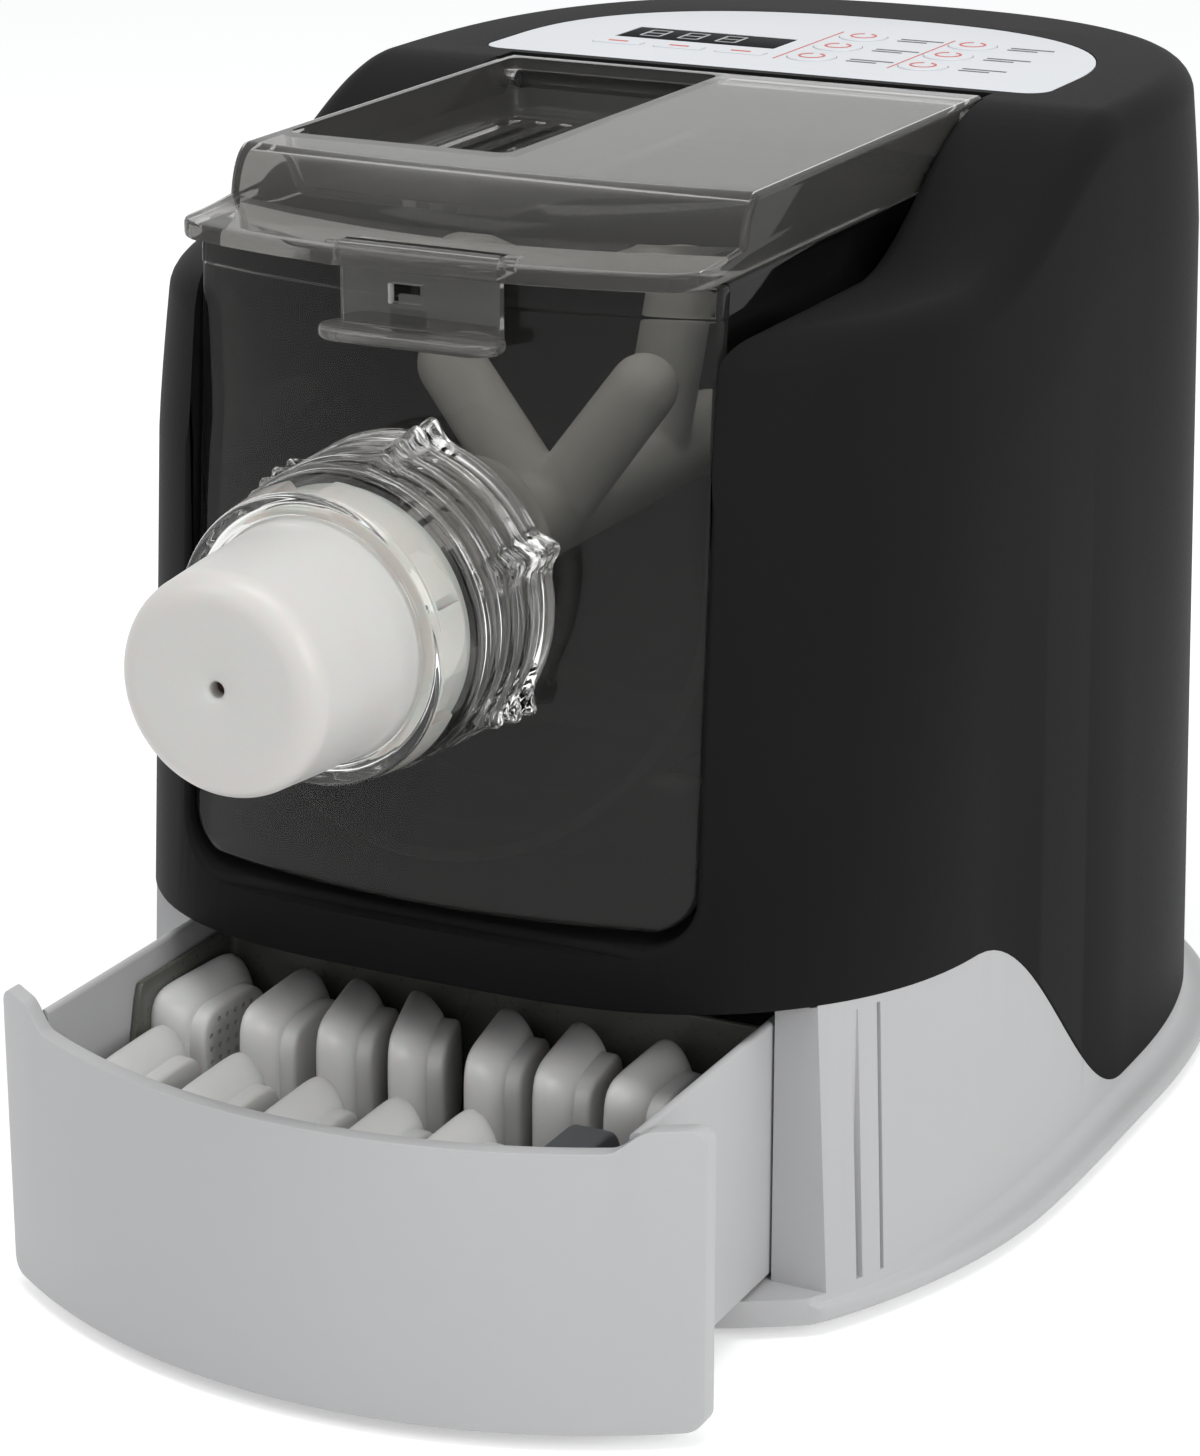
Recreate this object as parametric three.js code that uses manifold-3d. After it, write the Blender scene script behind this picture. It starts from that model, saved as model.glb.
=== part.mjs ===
// Electric pasta maker: a hollow housing on a drawer base, a clear mixing drum between its two arms,
// a hinged lid with a liquid tray, a screw-on nozzle, and a geared motor that turns the paddle.
// Millimetres. X is right when facing the nozzle, -Y is the front, +Z is up, the feet stand on z = 0.
import * as THREE from "three";
import { mergeVertices } from "three/addons/utils/BufferGeometryUtils.js";
import Module from "manifold-3d";

const wasm = await Module();
wasm.setup();

const fit = { seat: 0.3, running: 0.4, slide: 1, overrun: 40, mergeDistance: 0.0005 };

// The plan outline that the housing and the base share: two half superellipses, drafted with height.
const hull = {
  halfWidth: 121.5,
  centreY: 95,
  frontY: -107,
  rearY: 238,
  referenceZ: 70,
  deckRise: 96.5,
  armDrop: 31,
  armEndY: -8,
  deckStartY: 84,
  seamZ: 91,
  seamDip: 6,
  seamDipY: -13,
  lobeZ: 13,
  lobeY: 89,
  skin: 3,
  edgeRadius: 9,
  crownHeight: 45,
  crownInset: 2,
  frontPowerShare: 3.5,
  rearPowerShare: 2.5,
  sideDraftShare: 0.022,
  frontRakeShare: 0.06,
  rearDraftShare: 0.04,
  pointShares: 72,
};

// The rounded bay between the arms that takes the drum.
const bay = { halfWidth: 73.3, floorRise: 16.5, rearY: 82, ledgeDrop: 21.5, ledgeY: 90.6, corner: 13 };

const nozzle = {
  rise: 87,
  collarRadius: 33,
  boreRadius: 26,
  collarEndY: -131.7,
};

const frontPlate = {
  sideGap: 0.7,
  bottomRise: 3.5,
  topDrop: 27,
  thickness: 3.2,
  bottomCorner: 12,
  topCorner: 2,
  arcRadius: 224,
  frontY: -103.5,
  rakeShare: 0.0817,
  catchHalfWidth: 5,
  catchHeight: 4,
  catchDepth: 1.2,
  catchDrop: 2,
};

const drum = {
  sideGap: 0.7,
  wall: 3,
  rearDrop: 4.4,
  rearY: 81,
  saddleInset: 24.6,
  saddleThickness: 4,
  saddleRise: 11.9,
  saddleY: [-42, 42],
};

const lid = {
  sideGap: 0.9,
  wall: 2.8,
  skirtDrop: 18,
  topFrontY: -62,
  noseY: -99,
  rearY: 87,
  kneeRise: 4,
  kneeY: 84,
  noseDrop: 5,
  rearSkirtDrop: 13,
  lipFrontY: -105,
  lipThickness: 5,
  lipDepth: 18,
  trayWall: 6.4,
  trayRightX: -6,
  trayFrontY: -45,
  trayRearY: 73,
  trayFrontDrop: 7,
  trayRearDrop: 22,
  slotWidth: 4,
  slotLength: 24,
  slotGap: 9,
  slots: 3,
  hingeY: 82,
  hingeDrop: 6,
  pinRadius: 2.5,
  pinInset: 5.4,
  pinReach: 3.7,
};

const latch = {
  halfWidth: 22,
  thickness: 3,
  pivotY: -95.5,
  pivotRise: 2.6,
  barrelRadius: 2.3,
  pinRadius: 1,
  pinOverhang: 4,
  shelfDrop: 18,
  shelfThickness: 3.4,
  shelfFrontY: -108,
  shelfHalfWidth: 25,
  shelfCorner: 8,
  windowWidth: 9,
  windowHeight: 5,
  windowX: -4,
  windowDrop: 7,
};

const nut = {
  rearY: -101.2,
  frontY: -153,
  lipThickness: 3.2,
  neckRadius: 37.5,
  frontRadius: 35.4,
  ridgeEndY: -126,
  ridgeRise: 1.8,
  ridges: 5,
  lobeRise: 5,
  lobes: 6,
  pitch: 4,
  lobePowerShare: 6,
  landShare: 0.55,
  grooveShare: 0.8,
  fadeShare: 0.4,
  pointShares: 36,
};

const dieHead = {
  domeRearRadius: 31,
  domeFrontRadius: 27.5,
  frontY: -195,
  edgeRadius: 6,
  cavityRearRadius: 24,
  cavityFrontRadius: 20,
  frontWall: 5,
  holeRadius: 2,
};

const paddle = {
  hubRadius: 11,
  hubFrontY: -66,
  hubRearY: 72,
  armRadius: 9.5,
  armGap: 13.6,
  armFrontY: -30,
  armRearY: 32,
  armSpreadShare: 0.103,
  rearArmShare: 0.028,
  rearArmGap: 9.6,
  socketRadius: 6.4,
  socketDepth: 30,
};

const auger = { coreRadius: 9, flightRadius: 24.5, frontY: -128, turns: 2, bossLength: 4, pointShares: 24, steps: 20 };

const gears = {
  teeth: 36,
  pinionTeeth: 12,
  outputModule: 2,
  motorModule: 1.5,
  toothWidth: 9,
  outputY: 96,
  motorY: 111,
  shaftRadius: 6,
  idlerShaftRadius: 4,
  motorShaftRadius: 4,
  motorShare: 0.1556,
};

const gearbox = { halfWidth: 46, rise: 43.5, rearY: 134, frontY: 88, splitY: 108, wall: 3, corner: 12 };

const motor = { radius: 33, length: 62, fanRadius: 28, fanDepth: 10, fanHub: 8, blades: 7, bladeThickness: 2 };

const base = {
  bottomZ: 3.5,
  lipZ: 7,
  lipTopZ: 12,
  lip: 8,
  lipFrontShare: 0.1,
  lipFlareShare: 0.35,
  lipEdge: 1.2,
  lipStartY: -80,
  lipFullY: 20,
  floorZ: 7,
  tongueRise: 6,
  innerInset: 6,
  mouthGap: 1.8,
  mouthY: -72,
  mouthFloorZ: 11,
  cheek: 4,
  bowY: -99,
  grooveY: -63,
  grooveWidth: 4.5,
  grooveDepth: 2.2,
  grooveRun: 12,
};

const feet = { radius: 10, height: 3.2, frontInset: 35.5, frontY: -66, rearInset: 37.5, rearY: 180, edge: 1.2 };

const deck = { drop: 5, thickness: 2.6 };

const drawer = {
  widthShare: 0.69136,
  wall: 2.2,
  bottomZ: 12.2,
  drop: 12,
  rearY: 30,
  panelWidthShare: 0.82305,
  panelFrontY: -164,
  panelThickness: 4.4,
  panelBottomZ: 11.8,
  earRise: 5.5,
  earWidth: 15,
  earRadius: 5,
  arcRadius: 224,
};

const rail = { height: 13, thickness: 2.2, width: 12, frontY: -66, rearY: 110 };

const rack = { sideGap: 2.6, wall: 1.6, rearRun: 24.2, stepRun: 17.3, frontDrop: 16, rearDrop: 7, rimDrop: 3 };

const die = {
  half: 20,
  slabShare: 0.0491,
  shoulderShare: 0.1106,
  plugShare: 0.043,
  plugRadius: 12.5,
  edge: 2,
  roundPowerShare: 5,
  pointShares: 24,
};

// The stored dies' left rims as shares of the rack's half width, and how far each leans as shares of a turn
const rearRow = {
  leftShares: [-0.9582, -0.6757, -0.4324, -0.1843, 0.1106, 0.3686, 0.645],
  yawShares: [-0.0083, 0.0097, 0.0306, 0.0361, 0.0278, 0.0222, 0.0083],
};
const frontRow = {
  leftShares: [-0.9029, -0.5774, -0.2703, 0.0307, 0.2826],
  gaps: [0.11, 1.26, 1.3, 0.39, 0.57],
  yawShare: 0.0028,
};

const cutter = { leftShare: 0.6265, width: 12, length: 36, gap: 1.07, corner: 10 };

const panel = {
  frontY: 94.5,
  sideY: 118,
  rearY: 191,
  halfWidth: 86,
  thickness: 1.2,
  recess: 1.2,
  rearPowerShare: 2.4,
  cornerRadius: 7,
  deckWindowMargin: 3,
};

const display = { leftX: -59, rightX: -9, frontY: 128, rearY: 145 };

const keys = {
  travel: 0.6,
  stand: 0.5,
  smallWidth: 15,
  smallDepth: 5,
  smallX: -53.5,
  smallPitch: 19.4,
  smallY: 118.5,
  roundRadius: 7,
  columnX: [6.5, 40.5],
  rowY: [120.5, 139, 157.5],
  stem: 7.4,
};

const board = { halfWidth: 66, frontY: 104, rearY: 172, thickness: 1.6, drop: 5, postX: 60, postRadius: 3 };

const vents = { count: 9, pitch: 9, width: 3.4, rise: 59, height: 65 };

const inlet = { x: 0, rise: 29, halfWidth: 14, halfHeight: 11, depth: 16, flange: 3, flangeThickness: 2.4, corner: 4 };

const colours = {
  housing: 0x1b1b1c,
  base: 0xc6c6c8,
  smoke: 0x4a4a48,
  clear: 0xdfe4e2,
  white: 0xf0f0ec,
  panel: 0xdcdfe3,
  screen: 0x15181b,
  steel: 0xa9acb0,
  motor: 0x6f7378,
  rubber: 0x2a2a2a,
  board: 0x1f5a38,
  tray: 0x3b3a34,
};

// Widths follow the bay inside it, and the hull in the base
const drumHalf = bay.halfWidth - drum.sideGap;
const plateHalf = bay.halfWidth - frontPlate.sideGap;
const lidHalf = bay.halfWidth - lid.sideGap;
const trayLeftX = lid.trayWall - lidHalf;
const pinInnerX = lidHalf - lid.pinInset;
const pinOuterX = bay.halfWidth + lid.pinReach;
const drawerHalf = hull.halfWidth * drawer.widthShare;
const panelHalf = hull.halfWidth * drawer.panelWidthShare;
const rackHalf = drawerHalf - rack.sideGap;

// Heights build up from the seam: bay floor, nozzle axis, deck, then the lid's parts down from the deck
const bayFloorZ = hull.seamZ + bay.floorRise;
const axisZ = bayFloorZ + nozzle.rise;
const deckZ = axisZ + hull.deckRise;
const armZ = deckZ - hull.armDrop;
const bayLedgeZ = deckZ - bay.ledgeDrop;
const lidSkirtZ = deckZ - lid.skirtDrop;
const hingeZ = deckZ - lid.hingeDrop;
const drumTopZ = lidSkirtZ - 2 * fit.seat;
const drumRearTopZ = drumTopZ - drum.rearDrop;
const plateBottomZ = bayFloorZ + frontPlate.bottomRise;
const plateTopZ = deckZ - frontPlate.topDrop;
const catchTopZ = plateTopZ - frontPlate.catchDrop;
const latchPivotZ = lidSkirtZ + latch.pivotRise;
const shelfZ = lidSkirtZ - latch.shelfDrop;
const baseTopZ = hull.seamZ + base.tongueRise;
const baseDeckZ = hull.seamZ - deck.drop;
const drawerTopZ = hull.seamZ - drawer.drop;
const frontFloorZ = drawerTopZ - rack.frontDrop - 2 * die.half - fit.seat;
const rearFloorZ = drawerTopZ - rack.rearDrop - 2 * die.half - fit.seat;

// Manifold booleans on three.js geometries

function solid(geometry) {
  const bare = geometry.index ? geometry.toNonIndexed() : geometry.clone();
  bare.deleteAttribute("normal");
  bare.deleteAttribute("uv");
  const merged = mergeVertices(bare, fit.mergeDistance);
  const index = merged.index.array;
  const kept = [];
  for (let i = 0; i < index.length; i += 3) {
    const [a, b, c] = [index[i], index[i + 1], index[i + 2]];
    if (a !== b && b !== c && c !== a) kept.push(a, b, c);
  }
  const build = (triangles) =>
    new wasm.Manifold(
      new wasm.Mesh({
        numProp: 3,
        vertProperties: merged.attributes.position.array,
        triVerts: new Uint32Array(triangles),
      }),
    );
  const made = build(kept);
  if (made.volume() > 0) return made;
  const turned = [];
  for (let i = 0; i < kept.length; i += 3) turned.push(kept[i], kept[i + 2], kept[i + 1]);
  return build(turned);
}

function geometryOf(manifold) {
  const mesh = manifold.getMesh();
  const points = new Float32Array(mesh.numVert * 3);
  for (let i = 0; i < mesh.numVert; i++) {
    points.set(mesh.vertProperties.subarray(i * mesh.numProp, i * mesh.numProp + 3), i * 3);
  }
  const geometry = new THREE.BufferGeometry();
  geometry.setAttribute("position", new THREE.BufferAttribute(points, 3));
  geometry.setIndex(new THREE.BufferAttribute(new Uint32Array(mesh.triVerts), 1));
  geometry.computeVertexNormals();
  return geometry;
}

const join = (first, ...others) => others.reduce((all, next) => all.add(next), first);
const cut = (first, ...others) => others.reduce((all, next) => all.subtract(next), first);

const machine = new THREE.Group();

function piece(name, shape, color, roughness, metalness = 0, opacity = 1) {
  const material = new THREE.MeshStandardMaterial({ color, roughness, metalness, opacity, transparent: opacity < 1 });
  const mesh = new THREE.Mesh(geometryOf(shape), material);
  mesh.name = name;
  machine.add(mesh);
}

// Basic forms

function block(x0, x1, y0, y1, z0, z1) {
  const box = new THREE.BoxGeometry(x1 - x0, y1 - y0, z1 - z0);
  return solid(box.translate((x0 + x1) / 2, (y0 + y1) / 2, (z0 + z1) / 2));
}

function rodY(radius, y0, y1, x, z, sides = 24) {
  return solid(new THREE.CylinderGeometry(radius, radius, y1 - y0, sides).translate(x, (y0 + y1) / 2, z));
}

function rodX(radius, x0, x1, y, z, sides = 16) {
  const rod = new THREE.CylinderGeometry(radius, radius, x1 - x0, sides).rotateZ(Math.PI / 2);
  return solid(rod.translate((x0 + x1) / 2, y, z));
}

function rodZ(radius, z0, z1, x, y, sides = 24) {
  const rod = new THREE.CylinderGeometry(radius, radius, z1 - z0, sides).rotateX(Math.PI / 2);
  return solid(rod.translate(x, y, (z0 + z1) / 2));
}

// A shape drawn in X and Z, run along Y
function alongY(shape, y0, y1, curveSegments = 6) {
  const run = new THREE.ExtrudeGeometry(shape, { depth: y1 - y0, bevelEnabled: false, curveSegments });
  return solid(run.rotateX(Math.PI / 2).translate(0, y1, 0));
}

// A shape drawn in Y and Z, run along X
function alongX(shape, x0, x1, curveSegments = 6) {
  const run = new THREE.ExtrudeGeometry(shape, { depth: x1 - x0, bevelEnabled: false, curveSegments });
  const swap = new THREE.Matrix4().makeBasis(
    new THREE.Vector3(0, 1, 0),
    new THREE.Vector3(0, 0, 1),
    new THREE.Vector3(1, 0, 0),
  );
  return solid(run.applyMatrix4(swap).translate(x0, 0, 0));
}

function alongZ(shape, z0, z1, curveSegments = 6) {
  const run = new THREE.ExtrudeGeometry(shape, { depth: z1 - z0, bevelEnabled: false, curveSegments });
  return solid(run.translate(0, 0, z0));
}

// Profile points are radius and y, revolved about the nozzle axis
function turned(points, sides = 40, x = 0, z = axisZ) {
  const profile = points.map(([r, y]) => new THREE.Vector2(r, y));
  return solid(new THREE.LatheGeometry(profile, sides).translate(x, 0, z));
}

// A rounded rectangle in X and Z
function frame(x0, x1, z0, z1, topCorner, bottomCorner = topCorner) {
  const shape = new THREE.Shape();
  shape.moveTo(x0 + bottomCorner, z0);
  shape.lineTo(x1 - bottomCorner, z0);
  shape.quadraticCurveTo(x1, z0, x1, z0 + bottomCorner);
  shape.lineTo(x1, z1 - topCorner);
  shape.quadraticCurveTo(x1, z1, x1 - topCorner, z1);
  shape.lineTo(x0 + topCorner, z1);
  shape.quadraticCurveTo(x0, z1, x0, z1 - topCorner);
  shape.lineTo(x0, z0 + bottomCorner);
  shape.quadraticCurveTo(x0, z0, x0 + bottomCorner, z0);
  return shape;
}

// Rings of equal count become a closed skin. Point i and point count - i of a ring mirror each other.
function loft(rings) {
  const count = rings[0].length;
  const positions = rings.flat().flatMap((p) => [p.x, p.y, p.z]);
  const index = [];
  const at = (ring, i) => ring * count + (i % count);
  for (let ring = 0; ring + 1 < rings.length; ring++) {
    for (let i = 0; i < count; i++) {
      index.push(at(ring, i), at(ring, i + 1), at(ring + 1, i + 1));
      index.push(at(ring, i), at(ring + 1, i + 1), at(ring + 1, i));
    }
  }
  const last = rings.length - 1;
  for (let i = 0; i < count / 2; i++) {
    index.push(at(0, i), at(0, count - i - 1), at(0, i + 1));
    index.push(at(0, i), at(0, count - i), at(0, count - i - 1));
    index.push(at(last, i), at(last, i + 1), at(last, count - i - 1));
    index.push(at(last, i), at(last, count - i - 1), at(last, count - i));
  }
  const geometry = new THREE.BufferGeometry();
  geometry.setAttribute("position", new THREE.Float32BufferAttribute(positions, 3));
  geometry.setIndex(index);
  return solid(geometry);
}

const ease = (t) => {
  const s = THREE.MathUtils.clamp(t, 0, 1);
  return s * s * (3 - 2 * s);
};

// The hull's plan point at an angle, with its half axes drawn in by inset
function hullPoint(angle, z, inset) {
  const rise = z - hull.referenceZ;
  const front = Math.sin(angle) < 0;
  const half = hull.halfWidth - rise * hull.sideDraftShare - inset;
  const frontReach = hull.centreY - hull.frontY - rise * hull.frontRakeShare - inset;
  const rearReach = hull.rearY - hull.centreY - rise * hull.rearDraftShare - inset;
  const power = front ? hull.frontPowerShare : hull.rearPowerShare;
  const sideways = Math.abs(Math.cos(angle) / half) ** power;
  const lengthways = Math.abs(Math.sin(angle) / (front ? frontReach : rearReach)) ** power;
  const radius = (sideways + lengthways) ** (-1 / power);
  return new THREE.Vector3(radius * Math.cos(angle), hull.centreY + radius * Math.sin(angle), z);
}

// A ring of the hull whose height, and inset where it is a function, follow y
function hullRing(height, inset) {
  const points = [];
  for (let i = 0; i < hull.pointShares; i++) {
    const angle = (i / hull.pointShares) * 2 * Math.PI - Math.PI / 2;
    const start = hullPoint(angle, hull.referenceZ, 0);
    const drawn = typeof inset === "function" ? inset(start.y) : inset;
    const guess = hullPoint(angle, height(start.y), drawn);
    points.push(hullPoint(angle, height(guess.y), drawn));
  }
  return points;
}

// Top edge: level arms, an S-shaped rise beside the lid, then the level deck
const crestZ = (y) =>
  armZ + (deckZ - armZ) * ease((y - hull.armEndY) / (hull.deckStartY - hull.armEndY));

// Seam between housing and base: level in front, a hump at mid side, a deep lobe round the rear
function seamZ(y) {
  const front = hull.seamZ - hull.seamDip * ease((y - hull.frontY) / (hull.seamDipY - hull.frontY));
  return front + (hull.lobeZ - front) * ease((y - hull.seamDipY) / (hull.lobeY - hull.seamDipY));
}

// Everything in front of the curved, raked front face, drawn back by depth
function frontRegion(arcRadius, frontY, depth, referenceZ, rakeShare) {
  const radius = arcRadius - depth;
  const spread = Math.asin((hull.halfWidth + fit.overrun) / arcRadius);
  const centreY = frontY + arcRadius;
  const far = frontY - 2 * fit.overrun;
  const shape = new THREE.Shape();
  const edgeX = radius * Math.sin(spread);
  const edgeY = centreY - radius * Math.cos(spread);
  shape.moveTo(-edgeX, far);
  shape.lineTo(edgeX, far);
  shape.lineTo(edgeX, edgeY);
  shape.absarc(0, centreY, radius, spread - Math.PI / 2, -spread - Math.PI / 2, true);
  shape.lineTo(-edgeX, far);
  const low = -fit.overrun;
  const high = deckZ + fit.overrun;
  const run = new THREE.ExtrudeGeometry(shape, { depth: high - low, bevelEnabled: false, curveSegments: 20 });
  const lean = new THREE.Matrix4().set(1, 0, 0, 0, 0, 1, rakeShare, -referenceZ * rakeShare, 0, 0, 1, 0, 0, 0, 0, 1);
  return solid(run.translate(0, 0, low).applyMatrix4(lean));
}

const beforePlate = (depth) =>
  frontRegion(frontPlate.arcRadius, frontPlate.frontY, depth, plateBottomZ, frontPlate.rakeShare);
const plateFaceY = (z) => frontPlate.frontY + (z - plateBottomZ) * frontPlate.rakeShare;

const outputZ = axisZ;
const idlerZ = outputZ - (gears.outputModule * (gears.teeth + gears.pinionTeeth)) / 2;
const motorSpacing = (gears.motorModule * (gears.teeth + gears.pinionTeeth)) / 2;
const motorTurn = gears.motorShare * 2 * Math.PI;
const motorX = motorSpacing * Math.sin(motorTurn);
const motorZ = idlerZ - motorSpacing * Math.cos(motorTurn);
const motorFrontY = gearbox.rearY + fit.seat;
const motorRearY = motorFrontY + motor.length;

// Keys: three bars under the display, then two columns of three round ones
const keyPlaces = [];
for (let i = 0; i < 3; i++) {
  keyPlaces.push({ name: `key_bar_${i + 1}`, x: keys.smallX + i * keys.smallPitch, y: keys.smallY, bar: true });
}
keys.columnX.forEach((x, column) => {
  keys.rowY.forEach((y, row) => keyPlaces.push({ name: `key_round_${column * 3 + row + 1}`, x, y, bar: false }));
});

function keyPrism(place, margin, z0, z1) {
  if (!place.bar) return rodZ(keys.roundRadius + margin, z0, z1, place.x, place.y, 20);
  const halfX = keys.smallWidth / 2 + margin;
  const halfY = keys.smallDepth / 2 + margin;
  return block(place.x - halfX, place.x + halfX, place.y - halfY, place.y + halfY, z0, z1);
}

function panelShape(margin) {
  const half = panel.halfWidth + margin;
  const front = panel.frontY - margin;
  const reach = panel.rearY - panel.sideY + margin;
  const corner = panel.cornerRadius + margin;
  const shape = new THREE.Shape();
  shape.moveTo(-half + corner, front);
  shape.lineTo(half - corner, front);
  shape.quadraticCurveTo(half, front, half, front + corner);
  const steps = 24;
  for (let i = 0; i <= steps; i++) {
    const angle = (i / steps) * Math.PI;
    const power = panel.rearPowerShare;
    const across = Math.abs(Math.cos(angle) / half) ** power;
    const along = Math.abs(Math.sin(angle) / reach) ** power;
    const radius = (across + along) ** (-1 / power);
    shape.lineTo(radius * Math.cos(angle), panel.sideY + radius * Math.sin(angle));
  }
  shape.lineTo(-half, front + corner);
  shape.quadraticCurveTo(-half, front, -half + corner, front);
  return shape;
}

const panelBottomZ = deckZ - panel.recess;
const boardTopZ = deckZ - hull.skin - board.drop;

function housingSkin() {
  const fillet = [0, 0.25, 0.5, 0.75, 1].map((share) => (share * Math.PI) / 2);
  const outer = [hullRing(seamZ, 0), hullRing((y) => crestZ(y) - hull.crownHeight, 0)];
  for (const turn of fillet) {
    const drop = hull.edgeRadius * (1 - Math.sin(turn));
    const inset = hull.crownInset + hull.edgeRadius * (1 - Math.cos(turn));
    outer.push(hullRing((y) => crestZ(y) - drop, inset));
  }
  return loft(outer);
}

function mainHousing() {
  const shoulder = hull.skin + hull.edgeRadius;
  const inner = [
    hullRing(() => -fit.overrun, hull.skin),
    hullRing((y) => crestZ(y) - hull.crownHeight, hull.skin),
    hullRing((y) => crestZ(y) - shoulder, hull.skin + hull.crownInset),
    hullRing((y) => crestZ(y) - hull.skin, shoulder),
  ];
  const front = hull.frontY - fit.overrun;
  const top = deckZ + fit.overrun;
  const baySpace = (grow) => {
    const half = bay.halfWidth + grow;
    const shape = frame(-half, half, bayFloorZ - grow, top, fit.seat, bay.corner + grow);
    const ledge = block(-half, half, front, bay.ledgeY + grow, bayLedgeZ - grow, top);
    return join(alongY(shape, front, bay.rearY + grow), ledge);
  };
  const cavity = cut(loft(inner), baySpace(hull.skin));
  let shell = cut(housingSkin(), cavity, baySpace(0));
  shell = cut(shell, alongZ(panelShape(fit.seat), panelBottomZ - fit.seat, top));
  const windowMargin = panel.deckWindowMargin;
  const windowLow = deckZ - 2 * hull.skin;
  const windows = [
    block(display.leftX - fit.seat, display.rightX + fit.seat, display.frontY - fit.seat, display.rearY + fit.seat, windowLow, top),
  ];
  for (const place of keyPlaces) windows.push(keyPrism(place, fit.slide, windowLow, top));
  shell = cut(shell, ...windows);
  for (const x of [-board.postX, board.postX]) {
    for (const y of [board.frontY, board.rearY]) {
      const inner = y + Math.sign(hull.centreY + board.postX - y) * board.postRadius * 2;
      shell = join(shell, rodZ(board.postRadius, boardTopZ + fit.seat, panelBottomZ - hull.skin / 2, x, inner, 12));
    }
  }
  const bearingHole = gears.shaftRadius + windowMargin;
  shell = cut(shell, rodY(bearingHole, bay.rearY - hull.skin, gearbox.frontY, 0, axisZ));
  shell = cut(shell, rodX(lid.pinRadius + fit.seat, -pinOuterX - fit.seat, pinOuterX + fit.seat, lid.hingeY, hingeZ));
  for (let i = 0; i < vents.count; i++) {
    const x = (i - (vents.count - 1) / 2) * vents.pitch;
    const slot = frame(x - vents.width / 2, x + vents.width / 2, hull.seamZ + vents.rise, hull.seamZ + vents.rise + vents.height, vents.width / 2);
    shell = cut(shell, alongY(slot, hull.rearY - fit.overrun, hull.rearY + fit.overrun, 3));
  }
  const hole = frame(
    inlet.x - inlet.halfWidth - fit.seat,
    inlet.x + inlet.halfWidth + fit.seat,
    hull.seamZ + inlet.rise - inlet.halfHeight - fit.seat,
    hull.seamZ + inlet.rise + inlet.halfHeight + fit.seat,
    inlet.corner,
  );
  return cut(shell, alongY(hole, hull.rearY - fit.overrun, hull.rearY + fit.overrun, 3));
}
piece("main_housing", mainHousing(), colours.housing, 0.42);

function baseTub() {
  const flare = (y) => {
    const reach = ease((y - base.lipStartY) / (base.lipFullY - base.lipStartY));
    return base.lip * (base.lipFrontShare + (1 - base.lipFrontShare) * reach);
  };
  const outer = [
    hullRing(() => base.bottomZ, (y) => base.lipEdge - flare(y)),
    hullRing(() => base.bottomZ + base.lipEdge, (y) => -flare(y)),
    hullRing(() => base.lipZ, (y) => -flare(y)),
    hullRing(() => base.lipZ + base.lipEdge, (y) => -flare(y) * base.lipFlareShare),
    hullRing(() => base.lipTopZ, fit.seat),
    hullRing(() => baseTopZ, fit.seat),
  ];
  const tongue = [
    hullRing(() => -fit.overrun, hull.skin + fit.seat),
    hullRing(() => baseTopZ + fit.overrun, hull.skin + fit.seat),
  ];
  const inner = [
    hullRing(() => base.floorZ, base.innerInset),
    hullRing(() => baseTopZ + fit.overrun, base.innerInset),
  ];
  const wide = hull.halfWidth + fit.overrun;
  const far = hull.frontY - fit.overrun;
  const above = baseTopZ + fit.overrun;
  const cheekY = base.mouthY + base.cheek;
  const mouthHalf = drawerHalf + base.mouthGap;
  const housingSeat = cut(housingSkin().translate(0, 0, -fit.seat), loft(tongue));
  const cavity = cut(loft(inner), block(-wide, wide, far, cheekY, -fit.overrun, above));
  const mouth = block(-mouthHalf, mouthHalf, far, cheekY + base.cheek, base.mouthFloorZ, above);
  const porch = block(-wide, wide, far, base.mouthY, base.mouthFloorZ, above);
  const bow = frontRegion(drawer.arcRadius, base.bowY, 0, 0, 0);
  let tub = cut(loft(outer), housingSeat, cavity, mouth, porch, bow);
  const grooveAngle = Math.atan2(base.grooveY - hull.centreY, hull.halfWidth);
  for (const side of [-1, 1]) {
    const wallX = hullPoint(grooveAngle, hull.seamZ, 0).x;
    const x0 = Math.min(side * (wallX + base.grooveRun), side * (wallX - base.grooveDepth));
    const x1 = x0 + base.grooveRun + base.grooveDepth;
    const rear = base.grooveY + base.grooveWidth;
    tub = cut(tub, block(x0, x1, base.grooveY, rear, base.lipTopZ, hull.seamZ));
  }
  return tub;
}
piece("base_tub", baseTub(), colours.base, 0.5);

function baseDeck() {
  const rings = [
    hullRing(() => baseDeckZ, base.innerInset + fit.seat),
    hullRing(() => baseDeckZ + deck.thickness, base.innerInset + fit.seat),
  ];
  const wide = hull.halfWidth + fit.overrun;
  const far = hull.frontY - fit.overrun;
  const edge = base.mouthY + base.innerInset;
  return cut(loft(rings), block(-wide, wide, far, edge, baseDeckZ - fit.overrun, baseDeckZ + fit.overrun));
}
piece("base_deck", baseDeck(), colours.base, 0.6);

const frontFootX = hull.halfWidth - feet.frontInset;
const rearFootX = hull.halfWidth - feet.rearInset;
for (const [name, x, y] of [
  ["foot_front_left", -frontFootX, feet.frontY],
  ["foot_front_right", frontFootX, feet.frontY],
  ["foot_rear_left", -rearFootX, feet.rearY],
  ["foot_rear_right", rearFootX, feet.rearY],
]) {
  const profile = [
    [0, 0],
    [feet.radius - feet.edge, 0],
    [feet.radius, feet.edge],
    [feet.radius, feet.height],
    [0, feet.height],
  ].map(([r, z]) => new THREE.Vector2(r, z));
  const foot = new THREE.LatheGeometry(profile, 20).rotateX(Math.PI / 2).translate(x, y, 0);
  piece(name, solid(foot), colours.rubber, 0.9);
}

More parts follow.
